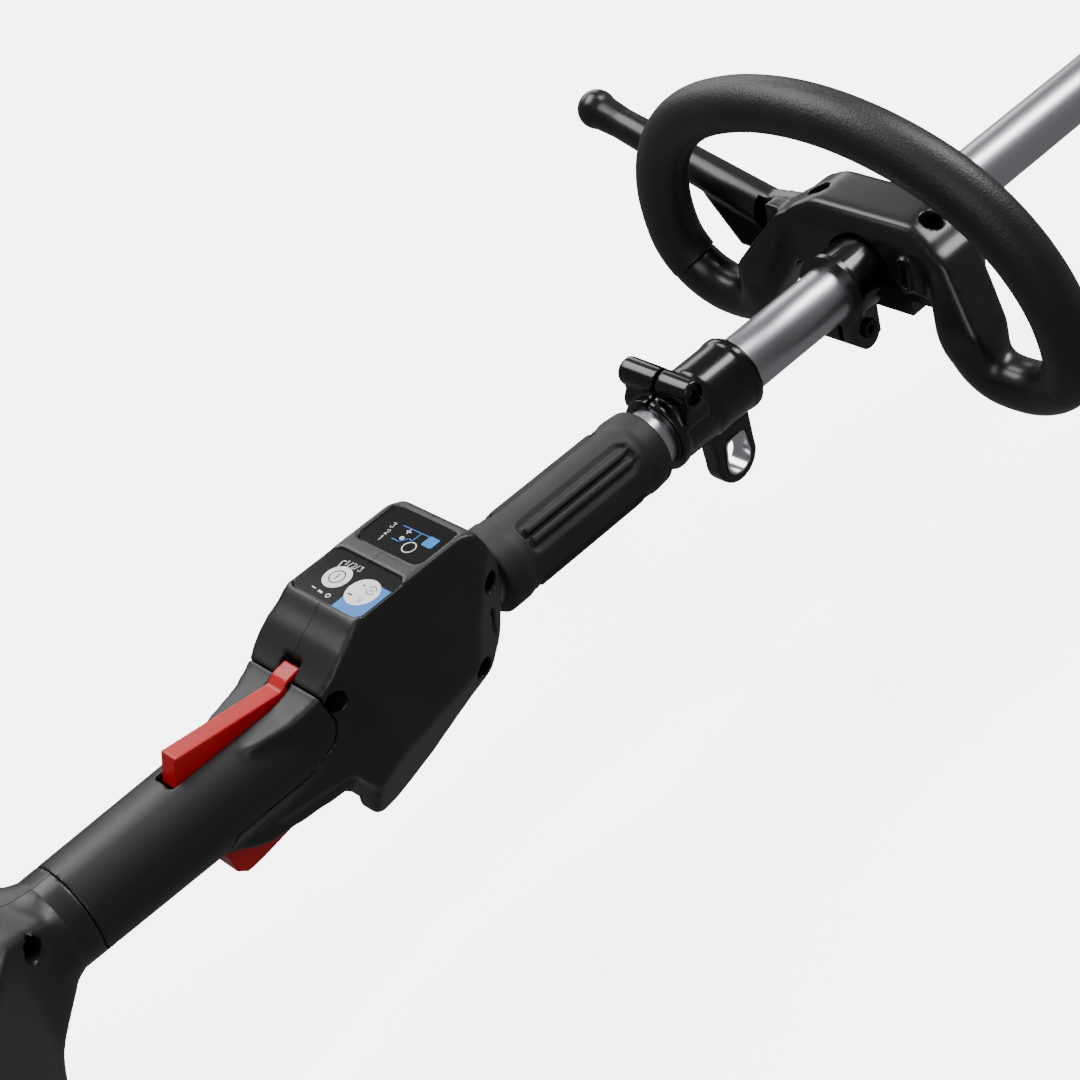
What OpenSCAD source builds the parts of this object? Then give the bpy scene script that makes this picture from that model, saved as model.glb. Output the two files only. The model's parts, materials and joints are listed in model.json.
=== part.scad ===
// Cordless string trimmer, lying on its rear foot and on the edge of its guard.
// X runs forward along the shaft, Y to the user's left, Z up. Millimetres.
// Stations along the shaft are counted from the balance point of the bare tube.

/* [Shaft] */
// Outside diameter of the shaft tube
tube_d = 25.4; // [22:0.1:30]
// Wall thickness of the shaft tube
tube_wall = 1.5; // [1:0.1:2.5]
// Station of the tube's rear end, inside the control housing
tube_rear = -225; // [-228:1:-215]
// Station where the spindle crosses the shaft axis
head_x = 1139; // [900:1:1300]
// Height of the shaft axis above the ground when the trimmer lies down
axis_height = 125; // [122:1:127]

/* [Control housing] */
// Station of the housing's front face
housing_front = -179.5; // [-181:0.5:-176]
// Half width of the control housing
housing_half_w = 26; // [24:0.5:30]
// Height of the panel surface above the shaft axis
panel_z = 40; // [38:0.5:42]
// Wall thickness of the moulded shells
shell_wall = 2.6; // [2:0.1:3]
// Radius of the rear grip at its front end
grip_front_r = 20; // [19:0.5:21]
// Radius of the rear grip at its rear end
grip_rear_r = 18.5; // [18:0.5:19.5]
// Thickness of the soft cover on the rear grip
grip_cover_t = 2.2; // [1.5:0.1:2.5]

/* [Levers] */
// Half width of the trigger
trigger_half_w = 6; // [5:0.5:7]
// Half width of the lock-off lever
lever_half_w = 4.5; // [4:0.5:6]

/* [Front grip] */
// Station of the front grip's front end
front_grip_end = -84; // [-90:1:-82]
// Station of the front grip's rear end
front_grip_start = -176; // [-178:1:-170]
// Radius of the front grip
front_grip_r = 17.5; // [16:0.5:19]

/* [Hanger] */
// Station of the hanger's front flange
hanger_front = -28; // [-40:1:-20]
// Length of the hanger along the shaft
hanger_len = 49; // [45:1:55]
// Radius of the opening in the eye's steel liner
eye_r = 6; // [5:0.5:7]

/* [Loop handle] */
// Station of the handle collar's rear flange
collar_rear = 36; // [30:1:60]
// Half width of the loop, outside
loop_half_w = 122; // [110:1:130]
// Radius of the loop's soft grip
loop_grip_r = 12; // [10.5:0.5:13]
// Radius of the loop's moulded core
loop_core_r = 10.6; // [8:0.1:11]
// Lean of the loop back towards the user, degrees
loop_lean = 9; // [0:1:15]
// Reach of the barrier bar to the left of the shaft
bar_reach = 177; // [150:1:190]

/* [Power unit] */
// Half width of the battery housing
unit_half_w = 78; // [76:1:84]
// Station of the wall that the batteries slide on
battery_wall_x = -538; // [-545:1:-530]
// Thickness of a battery, along the shaft
battery_t = 60; // [56:1:60]
// Height of a battery
battery_h = 112; // [100:1:114]
// Width of a battery
battery_w = 74; // [70:1:75]

/* [Cutting head] */
// Angle of the spindle from square to the shaft, degrees
head_tilt = 32; // [30:1:33]
// Outside radius of the motor housing
motor_r = 44; // [43:0.5:46]
// Radius of the line head drum
drum_r = 50; // [45:1:50]
// Radius of the guard's skirt
guard_r = 150; // [148:1:152]
// Angle that the guard covers on each side of the shaft, degrees
guard_half_angle = 62; // [45:1:65]

/* [Hidden] */
$fn = 64;
eps = 0.01;
fit = 0.05;      // running clearance of a moving bore, on the radius
gap = 0.4;       // clearance of a moving part in its slot

tube_r = tube_d / 2;
tube_front = head_x - 46;
unit_front = -450;
unit_top = 36;
unit_bottom = 7 - axis_height;
unit_rear = battery_wall_x - battery_t - 2;
battery_bottom = unit_bottom + 6.5;
length_over_all = head_x + drum_r * cos(head_tilt) + 65 * sin(head_tilt) - unit_rear;
mid_x = unit_rear + length_over_all / 2;
bar_ball_r = 9;
right_reach = guard_r * sin(guard_half_angle);
mid_y = (bar_reach + bar_ball_r - right_reach) / 2;

// ---------------------------------------------------------------- helpers

// Puts shaft coordinates into the part's frame
module place() {
    translate([-mid_x, -mid_y, axis_height]) children();
}

// Puts head coordinates, Z up along the spindle, onto the shaft
module head() {
    place() translate([head_x, 0, 0]) rotate([0, -head_tilt, 0]) children();
}

// A cylinder along the shaft between two stations
module along_x(x0, x1, r0, r1) {
    translate([x0, 0, 0]) rotate([0, 90, 0]) cylinder(h = x1 - x0, r1 = r0, r2 = r1);
}

// A cylinder across the machine
module across_y(x, z, y0, y1, r) {
    translate([x, y1, z]) rotate([90, 0, 0]) cylinder(h = y1 - y0, r = r);
}

// A side outline in X and Z, given a thickness across Y
module side_plate(points, half_w) {
    translate([0, half_w, 0]) rotate([90, 0, 0]) linear_extrude(2 * half_w) polygon(points);
}

// A box between two corners
module block(low, high) {
    translate(low) cube(high - low);
}

module ring(r_out, r_in, h) {
    difference() {
        cylinder(h = h, r = r_out);
        translate([0, 0, -1]) cylinder(h = h + 2, r = r_in);
    }
}

// Hexagon socket cap screw along Z, its head's underside at z = 0, shank downwards
module cap_screw(shank_r, len, head_r, head_h) {
    difference() {
        union() {
            translate([0, 0, -len]) cylinder(h = len, r = shank_r);
            cylinder(h = head_h, r = head_r);
        }
        translate([0, 0, head_h * 0.4]) cylinder(h = head_h, r = head_r * 0.55, $fn = 6);
    }
}

// Compression spring on Z: a six-sided wire swept round a helix
module coil_spring(r, wire_r, h, turns) {
    steps = turns * 10;
    rings = [for (i = [0:steps], k = [0:5]) let (
        turn = 360 * turns * i / steps, side = 60 * k,
        reach = r + wire_r * cos(side)
    ) [reach * cos(turn), reach * sin(turn),
       wire_r + (h - 2 * wire_r) * i / steps + wire_r * sin(side)]];
    walls = [for (i = [0:steps - 1], k = [0:5]) let (n = (k + 1) % 6)
        [6 * i + k, 6 * i + 6 + k, 6 * i + 6 + n, 6 * i + n]];
    polyhedron(rings, concat(walls, [[0, 1, 2, 3, 4, 5]],
        [[for (k = [5:-1:0]) 6 * steps + k]]), convexity = 6);
}

// ---------------------------------------------------------------- shaft

module shaft_tube() {
    color("#b9bcc0") place() difference() {
        along_x(tube_rear, tube_front, tube_r, tube_r);
        along_x(tube_rear - 1, tube_front + 1, tube_r - tube_wall, tube_r - tube_wall);
    }
}

module motor_cable() {
    color("#1a1a1c") place() along_x(tube_rear - 2, tube_front, 3.5, 3.5);
}

// Rubber rings that keep the cable quiet inside the tube
module cable_spacers() {
    color("#2a2a2c") place() for (i = [0:4])
        translate([tube_rear + 60 + i * 270, 0, 0]) rotate([0, 90, 0])
            ring(tube_r - tube_wall, 3.5, 10);
}

// ---------------------------------------------------------------- control housing

// Side outline of the control box, from the grip round the top, front and chin
control_side = [
    [-292, 17], [-276, 21], [-262, 30.5], [-250, 39], [-244, panel_z + 1],
    [-193, panel_z + 1], [-187, panel_z - 2], [housing_front, 19], [housing_front, 8],
    [-187, -12], [-196, -20], [-211, -27], [-232, -40], [-251, -47.5], [-261, -49],
    [-264.5, -46], [-262, -36], [-262, -22], [-292, -18]
];

// The same outline one wall thickness inside
control_side_inner = [
    [-288, 12], [-276, 16], [-262, 27], [-248, 34], [-243, panel_z - 4],
    [-193, panel_z - 4], [-190, panel_z - 5], [housing_front - shell_wall, 18],
    [housing_front - shell_wall, 9], [-189, -10], [-198, -17.5], [-212, -24],
    [-232, -36], [-251, -44.5], [-259, -45.5], [-259, -20], [-288, -13]
];

// Width of the control box at each height
function control_section(w) = [
    [-12, -52], [12, -52], [w - 4, -20], [w, 10], [w - 3, 36], [w - 6, 44],
    [6 - w, 44], [3 - w, 36], [-w, 10], [4 - w, -20]
];

// Width of the control box at each station; neck is its half width where the grip begins
function control_plan(w, neck) = [
    [-300, -neck], [-276, -neck - 1], [-258, 2 - w], [-246, -w], [-200, -w], [-186, 4 - w],
    [-174, 9 - w], [-174, w - 9], [-186, w - 4], [-200, w], [-246, w], [-258, w - 2],
    [-276, neck + 1], [-300, neck]
];

module control_box(side, w, neck) {
    intersection() {
        side_plate(side, w + 4);
        translate([-320, 0, 0]) rotate([90, 0, 90]) linear_extrude(160)
            polygon(control_section(w));
        translate([0, 0, -60]) linear_extrude(120) polygon(control_plan(w, neck));
    }
}

grip_rear_x = -385;
grip_front_x = -284;
grip_z = 1;

module grip_bar(x0, x1, less) {
    translate([0, 0, grip_z]) along_x(x0, x1, grip_rear_r - less, grip_front_r - less);
}

// Battery housing, flaring out of the rear end of the grip
module power_unit_outer() {
    hull() {
        translate([0, 0, grip_z]) along_x(grip_rear_x - 8, grip_rear_x, grip_rear_r + 1, grip_rear_r);
        block([-414, -26, -26], [-410, 26, 30]);
    }
    hull() {
        block([-414, -26, -26], [-410, 26, 30]);
        block([unit_front - 2, 8 - unit_half_w, -92], [unit_front, unit_half_w - 8, unit_top - 4]);
        block([unit_front - 20, -unit_half_w, unit_bottom], [unit_front - 18, unit_half_w, unit_top]);
    }
    block([battery_wall_x, -unit_half_w, unit_bottom], [unit_front - 18, unit_half_w, unit_top]);
    block([unit_rear, -unit_half_w, unit_bottom], [battery_wall_x, unit_half_w, unit_bottom + 6]);
}

module power_unit_inner() {
    w = shell_wall;
    along_x(-420, grip_rear_x + 5, grip_rear_r - 4, grip_rear_r - 4);
    hull() {
        block([-418, -20, -18], [-414, 20, 24]);
        block([unit_front - 20, w + 4 - unit_half_w, -84],
              [unit_front - 18, unit_half_w - w - 4, unit_top - 6]);
    }
    block([battery_wall_x + w, w - unit_half_w, unit_bottom + 2 * w],
          [unit_front - 19, unit_half_w - w, unit_top - w]);
}

// Stations and heights of the housing screws, and how deep each head sits
screw_points = [
    [-265, 18, 17], [-187.5, 15, 17], [-203, -15.2, 17],
    [-402, 17, 17], [-409, -15, 17],
    [-500, 24, 70], [-500, -80, 70], [-450, -40, 50]
];

lever_slot = [-329, -260];
trigger_slot = [-322, -259];

// Underside of the grip round the trigger, which the soft cover leaves free
module trigger_zone(more) {
    block([-322 - more, -30, -40], [-280, 30, more - 5.5]);
}

// Cheeks under the grip, on both sides of the trigger
module trigger_fairing() {
    hull() {
        block([-318, -9, -16], [-312, 9, -6]);
        block([-306, -12, -20.5], [-286, 12, -6]);
        block([-266, -15, -28], [-258, 15, -6]);
    }
}

// Shelves inside the grip that the two springs push against
module spring_seats() {
    block([-316, -15, 5], [-308, 15, 7]);
    block([-299, -15.5, -4.5], [-291, 15.5, -2.6]);
}

module housing_solid() {
    spring_seats();
    difference() {
        union() {
            control_box(control_side, housing_half_w, 17);
            grip_bar(grip_rear_x, grip_front_x, 0);
            trigger_fairing();
            power_unit_outer();
        }
        // band for the soft cover, full thickness left at both ends of the grip
        difference() {
            grip_bar(grip_rear_x + 8, grip_front_x - 6, -2);
            grip_bar(grip_rear_x + 7, grip_front_x - 5, grip_cover_t);
            trigger_zone(0);
        }
        difference() {
            union() {
                control_box(control_side_inner, housing_half_w - shell_wall, 13);
                grip_bar(grip_rear_x - 2, grip_front_x + 4, grip_cover_t + shell_wall);
                power_unit_inner();
            }
            for (p = screw_points) across_y(p[0], p[1], -unit_half_w, unit_half_w, 4.4);
            translate([0, 0, 0]) along_x(housing_front - 30, housing_front, tube_r + 4, tube_r + 4);
        }
        // tube socket
        along_x(tube_rear - 3, housing_front + 5, tube_r, tube_r);
        // slots for the lock-off lever and the trigger
        block([lever_slot[0], -lever_half_w - gap, 4], [-271, lever_half_w + gap, 40]);
        block([-272, -lever_half_w - gap, 23.2], [lever_slot[1], lever_half_w + gap, 40]);
        across_y(lever_pivot[0], lever_pivot[1], -15.6, 15.6, 1.5 + eps);
        block([trigger_slot[0], -trigger_half_w - gap, -48], [trigger_slot[1], trigger_half_w + gap, -4]);
        // recesses for the two panel films and the buttons under them
        block([-244.5, -19.5, panel_z - 1], [-220.5, 19.5, panel_z + 2]);
        block([-213, -17.5, panel_z - 1], [-191, 17.5, panel_z + 2]);
        across_button(power_button_at, 5.6, panel_z - 8);
        across_button(reverse_button_at, 4.6, panel_z - 8);
        // screw holes, head recesses on the right side
        for (p = screw_points) {
            across_y(p[0], p[1], -p[2], p[2], 1.9);
            across_y(p[0], p[1], -unit_half_w - 2, 4 - p[2], 4.1);
        }
    }
}

module housing_shell_right() {
    color("#232427") place() intersection() {
        housing_solid();
        block([-620, -100, -130], [-100, 0, 60]);
    }
}

module housing_shell_left() {
    color("#232427") place() intersection() {
        housing_solid();
        block([-620, 0, -130], [-100, 100, 60]);
    }
}

module rear_grip_cover() {
    color("#1c1d1f") place() difference() {
        grip_bar(grip_rear_x + 8, grip_front_x - 6, -0.3);
        grip_bar(grip_rear_x + 7, grip_front_x - 5, grip_cover_t);
        block([lever_slot[0] - 1, -lever_half_w - 1, 4], [lever_slot[1], lever_half_w + 1, 40]);
        trigger_zone(0.15);
        block([trigger_slot[0] - 1, -trigger_half_w - 1, -48],
              [trigger_slot[1], trigger_half_w + 1, -4]);
    }
}

module housing_screws() {
    color("#3a3b3e") place() for (p = screw_points)
        translate([p[0], 4 - p[2], p[1]]) rotate([90, 0, 0])
            cap_screw(1.8, 2 * p[2] - 6, 3.6, 2.6);
}

// ---------------------------------------------------------------- panels and buttons

power_button_at = [-232.3, 5.8];
reverse_button_at = [-233.2, -9.6];

// A round well through the panel floor
module across_button(at, r, z0) {
    translate([at[0], at[1], z0]) cylinder(h = 12, r = r);
}

module control_panel_film() {
    color("#101113") place() difference() {
        block([-244.2, -19.2, panel_z - 1], [-220.8, 19.2, panel_z]);
        across_button(power_button_at, 5.4, panel_z - 4);
        across_button(reverse_button_at, 4.4, panel_z - 4);
    }
}

module indicator_panel_film() {
    color("#101113") place() block([-212.7, -17.2, panel_z - 1], [-191.3, 17.2, panel_z]);
}

module push_button(at, r, cap_color) {
    color(cap_color) place() translate([at[0], at[1], 0]) {
        translate([0, 0, panel_z - 4.4]) cylinder(h = 4.7, r = r);
        translate([0, 0, panel_z - 5.4]) cylinder(h = 1.1, r = r - 1.4);
    }
}

module power_button() { push_button(power_button_at, 5, "#f2f2f2"); }
module reverse_button() { push_button(reverse_button_at, 4, "#dfe9f2"); }

board_top = panel_z - 6.2;

module button_board() {
    color("#1f5a34") place() {
        block([-243, -17, board_top - 1.6], [-193, 17, board_top]);
        for (at = [power_button_at, reverse_button_at])
            translate([at[0], at[1], board_top - eps]) cylinder(h = 0.2, r = 2);
    }
}

module speed_leds() {
    color("#d8e8ff") place() for (i = [0:2])
        translate([-205.5, 8.5 - 3.3 * i, board_top]) cylinder(h = 1.6, r = 1.3);
}

module controller_board() {
    color("#274b36") place() {
        block([-256, -17, 17], [-194, 17, 18.6]);
        block([-250, -12, 18.5], [-236, 12, 27]);
        block([-232, -14, 18.5], [-214, 14, 29]);
        block([-210, -10, 18.5], [-198, 10, 25]);
    }
}

module switch_unit() {
    color("#3c3d40") place() {
        block([-256, -8, -22], [-232, 8, 2]);
        block([-259, -3, -16], [-255.9, 3, -10]);
    }
}

// Red and black leads from the battery terminals, one on each side of the grip
module power_leads() {
    color("#8c2022") place() for (s = [-1, 1])
        translate([0, s * 9.5, 2]) along_x(-440, -262, 2.2, 2.2);
}

// ---------------------------------------------------------------- levers

lever_pivot = [-278, 14];
lever_side = [
    [-264.8, 23.9], [-264.8, 25.6], [-267.5, 26], [-271.5, 24.9], [-275.2, 22.5], [-319.5, 28.3],
    [-322.8, 27.4], [-325.4, 24], [-326, 17], [-322, 14.5], [-290, 16], [-281, 9.6], [-274, 10],
    [-272.3, 23], [-271, 23.5]
];

module lock_off_lever() {
    color("#c3161c") place() difference() {
        union() {
            side_plate(lever_side, lever_half_w);
            across_y(lever_pivot[0], lever_pivot[1], -lever_half_w, lever_half_w, 4.6);
        }
        across_y(lever_pivot[0], lever_pivot[1], -10, 10, 1.5 + fit);
    }
}

module lock_off_pin() {
    color("#9a9da1") place() across_y(lever_pivot[0], lever_pivot[1], -15.5, 15.5, 1.5);
}

module lock_off_spring() {
    color("#8f9296") place() translate([-312, 0, 7]) coil_spring(3, 0.45, 7.4, 4);
}

trigger_pivot = [-270, -13];
trigger_side = [
    [-266, -9], [-300, -12], [-316, -14.5], [-319.5, -28], [-317.5, -36.5], [-307, -40],
    [-286, -37.5], [-268, -37.5], [-264.5, -34], [-264.5, -16]
];

module trigger() {
    color("#c3161c") place() difference() {
        union() {
            side_plate(trigger_side, trigger_half_w);
            across_y(trigger_pivot[0], trigger_pivot[1], -trigger_half_w, trigger_half_w, 5);
        }
        across_y(trigger_pivot[0], trigger_pivot[1], -10, 10, 1.75 + fit);
        // hollow underside rib pocket
        block([-306, -3.5, -31], [-284, 3.5, -8]);
    }
}

module trigger_pin() {
    color("#9a9da1") place() across_y(trigger_pivot[0], trigger_pivot[1], -14, 14, 1.75);
}

module trigger_spring() {
    color("#8f9296") place() translate([-295, 0, -30.5]) coil_spring(2.6, 0.4, 26, 9);
}

// ---------------------------------------------------------------- front grip

module front_grip() {
    r = front_grip_r;
    len = front_grip_end - front_grip_start;
    color("#2b2b2d") place() difference() {
        union() {
            along_x(front_grip_start, front_grip_end, r - 1.4, r - 1.4);
            along_x(front_grip_start, front_grip_start + 12, r, r);
            along_x(front_grip_end - 14, front_grip_end - 2, r, r);
            along_x(front_grip_end - 2, front_grip_end, r, r - 1.5);
            // raised ribs in sets of three, on four sides
            for (a = [0:90:270], rib = [-1:1])
                rotate([a + 20, 0, 0]) block(
                    [front_grip_start + 11, rib * 5.5 - 1.2, r - 3],
                    [front_grip_end - 13, rib * 5.5 + 1.2, r - 0.5 - 0.6 * abs(rib)]);
        }
        along_x(front_grip_start - 1, front_grip_end + 1, tube_r, tube_r);
    }
}

// ---------------------------------------------------------------- hanger

hanger_rear = hanger_front - hanger_len;
hanger_r = 16.6;
hanger_bolt_x = hanger_rear + 11;
hanger_bolt_z = 19;
eye_x = hanger_front - 11;
eye_z = -36;
eye_half_w = 4;

module hanger_clamp() {
    color("#17181a") place() difference() {
        union() {
            along_x(hanger_rear, hanger_front, hanger_r, hanger_r);
            along_x(hanger_front - 3, hanger_front, hanger_r + 1.4, hanger_r + 1.4);
            along_x(hanger_rear, hanger_rear + 2.5, hanger_r + 0.9, hanger_r + 0.9);
            // boss for the pinch bolt, across the top
            across_y(hanger_bolt_x, hanger_bolt_z, -14, 20, 6.2);
            block([hanger_bolt_x - 6, -11, 8], [hanger_bolt_x + 6, 14, hanger_bolt_z]);
            // eye plate below
            translate([eye_x, 0, eye_z]) rotate([90, 0, 0])
                cylinder(h = 2 * eye_half_w, r = 15, center = true);
            block([eye_x - 18, -eye_half_w, eye_z + 6], [eye_x + 10, eye_half_w, -12]);
        }
        along_x(hanger_rear - 1, hanger_front + 1, tube_r + fit, tube_r + fit);
        // groove round the ring, and the split under the bolt
        translate([hanger_rear + 20, 0, 0]) rotate([0, 90, 0])
            difference() {
                cylinder(h = 1.6, r = hanger_r + 12);
                translate([0, 0, -1]) cylinder(h = 4, r = hanger_r - 1);
                translate([0, -eye_half_w - 1, -1]) cube([60, 2 * eye_half_w + 2, 4]);
            }
        block([hanger_rear - 1, -1.2, 10], [hanger_rear + 20, 1.2, 30]);
        across_y(hanger_bolt_x, hanger_bolt_z, -30, 30, 2.6);
        across_y(hanger_bolt_x, hanger_bolt_z, -20, -11, 4.6);
        translate([hanger_bolt_x, 21, hanger_bolt_z]) rotate([90, 0, 0])
            cylinder(h = 5.2, r = 4.7, $fn = 6);
        across_y(eye_x, eye_z, -20, 20, eye_r + 1.2);
    }
}

module hanger_bolt() {
    color("#2e2f31") place() translate([hanger_bolt_x, -11, hanger_bolt_z])
        rotate([90, 0, 0]) cap_screw(2.45, 30, 4.25, 4.6);
}

module hanger_nut() {
    color("#8d9094") place() translate([hanger_bolt_x, 20.4, hanger_bolt_z])
        rotate([90, 0, 0]) difference() {
            cylinder(h = 4.2, r = 4.5, $fn = 6);
            translate([0, 0, -1]) cylinder(h = 7, r = 2.5);
        }
}

module hanger_eye_liner() {
    color("#c9ccd0") place() translate([eye_x, eye_half_w + 0.6, eye_z]) rotate([90, 0, 0])
        difference() {
            union() {
                cylinder(h = 2 * eye_half_w + 1.2, r = eye_r + 1.2);
                cylinder(h = 0.6, r = eye_r + 2.4);
                translate([0, 0, 2 * eye_half_w + 0.6]) cylinder(h = 0.6, r = eye_r + 2.4);
            }
            translate([0, 0, -1]) cylinder(h = 4 * eye_half_w, r = eye_r);
        }
}

// ---------------------------------------------------------------- loop handle

saddle_rear = collar_rear + 19;
saddle_front = saddle_rear + 33;
saddle_side = [
    [-43, -6], [-43, 15], [-38, 21], [-28, 26], [28, 26], [38, 21], [43, 15], [43, -6]
];
handle_screw_at = [saddle_rear + 15.5, 30.5];
loop_x = 52;               // station where the loop's plane crosses the shaft axis
leg_y = 58;
core_corner_r = 30;
leg_bend_r = 17;
top_r = 138;
side_r = 89;
top_angle = 25;
side_angle = 92;
side_y = loop_half_w - loop_grip_r - side_r;
side_z = -5;
top_z = side_z - side_y / tan(top_angle);
corner_y = side_y + (side_r - core_corner_r) * sin(side_angle);
corner_z = side_z + (side_r - core_corner_r) * cos(side_angle);
leg_bend_y = leg_y + leg_bend_r;
leg_bend_z = corner_z - core_corner_r + leg_bend_r;
bottom_z = corner_z - core_corner_r;

loop_sides = 14;
grip_end_angle = 150;     // where the soft grip ends on the lower corner
leg_top_z = 8;

// A bend of the loop's centre line, seen from behind: Y, Z and the angle of its outward
// normal, which turns from straight up at the top of the loop round to the shaft at the leg
function bend(cy, cz, r, a0, a1, steps) = [for (i = [0:steps]) let (
    a = a0 + (a1 - a0) * i / steps) [cy + r * sin(a), cz + r * cos(a), a]];

function without_first(list) = [for (i = [1:len(list) - 1]) list[i]];
function other_side(list) = [for (i = [len(list) - 1:-1:1]) [-list[i][0], list[i][1], -list[i][2]]];

// Left half of the loop, from the middle of the top as far as the given corner angle
function half_loop(corner_end) = concat(
    bend(0, top_z, top_r, 0, top_angle, 3),
    without_first(bend(side_y, side_z, side_r, top_angle, side_angle, 8)),
    without_first(bend(corner_y, corner_z, core_corner_r, side_angle, corner_end, 8)));

half_bar = concat(half_loop(180),
    bend(leg_bend_y, leg_bend_z, leg_bend_r, 180, 270, 7), [[leg_y, leg_top_z, 270]]);

// Points of a round section at one place of the centre line, leaning with the loop
function section(at, r) = [for (k = [0:loop_sides - 1]) let (
    t = 360 * k / loop_sides,
    x = r * sin(t),
    z = at[1] + r * cos(t) * cos(at[2])
) [loop_x + x * cos(loop_lean) - z * sin(loop_lean), at[0] + r * cos(t) * sin(at[2]),
   x * sin(loop_lean) + z * cos(loop_lean)]];

// Faces of a wall between rings that start at the given point number
function wall(rings, first, out) = [for (i = [0:rings - 2], k = [0:loop_sides - 1]) let (
    n = loop_sides, a = first + i * n + k, b = first + i * n + (k + 1) % n
) out ? [a, b, b + n, a + n] : [a, a + n, b + n, b]];

module swept_bar(path, r) {
    n = loop_sides;
    last = n * (len(path) - 1);
    polyhedron([for (at = path, p = section(at, r)) p], concat(wall(len(path), 0, true),
        [[for (k = [n - 1:-1:0]) k]], [[for (k = [0:n - 1]) last + k]]), convexity = 8);
}

module swept_sleeve(path, r, r_in) {
    n = loop_sides;
    inner = n * len(path);
    last = n * (len(path) - 1);
    polyhedron(concat([for (at = path, p = section(at, r)) p],
        [for (at = path, p = section(at, r_in)) p]), concat(
        wall(len(path), 0, true), wall(len(path), inner, false),
        [for (k = [0:n - 1]) let (m = (k + 1) % n) [k, inner + k, inner + m, m]],
        [for (k = [0:n - 1]) let (m = (k + 1) % n)
            [last + m, inner + last + m, inner + last + k, last + k]]), convexity = 8);
}

// Bent bar inside the loop, moulded into the saddle's shoulders at both ends
module loop_bar() {
    color("#1d1e20") place() swept_bar(concat(other_side(half_bar), half_bar), loop_core_r);
}

module handle_saddle() {
    color("#1d1e20") place() difference() {
        union() {
            translate([saddle_rear, 0, 0]) rotate([90, 0, 90])
                linear_extrude(saddle_front - saddle_rear) polygon(saddle_side);
            // shoulders that carry the legs
            for (s = [-1, 1]) hull() {
                translate([saddle_rear + 1, s * 40 - 3, -4]) cube([16, 6, 17]);
                translate([loop_x - 8, s * leg_y - 10, -8]) cube([19, 20, 18]);
            }
            // pad under the barrier bar's foot
            block([saddle_rear + 8, 40, -4], [saddle_rear + 17.4, 58, 12]);
        }
        along_x(saddle_rear - 20, saddle_front + 1, tube_r + fit, tube_r + fit);
        along_x(saddle_rear - 1, saddle_rear + 2.4, collar_r + 0.2, collar_r + 0.2);
        block([saddle_rear - 1, -24, -20], [saddle_front + 1, 24, -1]);
        for (s = [-1, 1]) translate([handle_screw_at[0], s * handle_screw_at[1], 0]) {
            translate([0, 0, -20]) cylinder(h = 60, r = 2.7);
            translate([0, 0, 14]) cylinder(h = 30, r = 4.8);
        }
        for (z = bar_screw_z) translate([saddle_rear + 11, bar_screw_y, z]) rotate([0, 90, 0])
            cylinder(h = 10, r = 1.55);
    }
}

module loop_grip() {
    path = half_loop(grip_end_angle);
    color("#1a1a1b") place()
        swept_sleeve(concat(other_side(path), path), loop_grip_r, loop_core_r + 0.02);
}

module handle_lower_clamp() {
    color("#1d1e20") place() difference() {
        union() {
            block([saddle_rear + 4, -23.5, -20], [saddle_front - 2, 23.5, -1.6]);
            block([saddle_rear + 6, -38, -14], [saddle_front - 8, 38, -6.4]);
        }
        along_x(saddle_rear - 1, saddle_front + 1, tube_r + fit, tube_r + fit);
        for (s = [-1, 1]) translate([handle_screw_at[0], s * handle_screw_at[1], -30])
            cylinder(h = 60, r = 2.5);
    }
}

module handle_screws() {
    color("#2e2f31") place() for (s = [-1, 1])
        translate([handle_screw_at[0], s * handle_screw_at[1], 14]) cap_screw(2.5, 27, 4.2, 4.5);
}

collar_front = saddle_rear + 2;
collar_r = 16;
collar_bolt_x = collar_rear + 8.5;
collar_bolt_z = -21;

module handle_collar() {
    color("#17181a") place() difference() {
        union() {
            along_x(collar_rear, collar_front, collar_r, collar_r);
            along_x(collar_rear, collar_rear + 2.5, collar_r + 1.2, collar_r + 1.2);
            block([collar_rear + 1.5, -10, -27], [collar_rear + 16, 12, -8]);
            across_y(collar_bolt_x, collar_bolt_z - 3, -10, 12, 7);
        }
        along_x(collar_rear - 1, collar_front + 1, tube_r + fit, tube_r + fit);
        block([collar_rear - 1, -1.2, -40], [collar_front + 1, 1.2, -10]);
        across_y(collar_bolt_x, collar_bolt_z, -30, 30, 2.6);
        across_y(collar_bolt_x, collar_bolt_z, -20, -7, 4.6);
        translate([collar_bolt_x, 13, collar_bolt_z]) rotate([90, 0, 0])
            cylinder(h = 5, r = 4.7, $fn = 6);
    }
}

module collar_bolt() {
    color("#2e2f31") place() {
        translate([collar_bolt_x, -7, collar_bolt_z]) rotate([90, 0, 0])
            cap_screw(2.45, 18, 4.25, 4.6);
        translate([collar_bolt_x, 11.8, collar_bolt_z]) rotate([90, 0, 0]) difference() {
            cylinder(h = 3.6, r = 4.5, $fn = 6);
            translate([0, 0, -1]) cylinder(h = 7, r = 2.5);
        }
    }
}

// Points of the barrier bar's centre line: foot beside the saddle, then the tip
bar_screw_y = 46.8;
bar_screw_z = [-0.5, 8];
bar_foot = [saddle_rear + 17, 52, 3];
bar_tip = [saddle_rear + 25, bar_reach, 26];
bar_len = norm(bar_tip - bar_foot);
bar_pan = atan2(bar_tip[1] - bar_foot[1], bar_tip[0] - bar_foot[0]);
bar_rise = asin((bar_tip[2] - bar_foot[2]) / bar_len);

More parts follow.
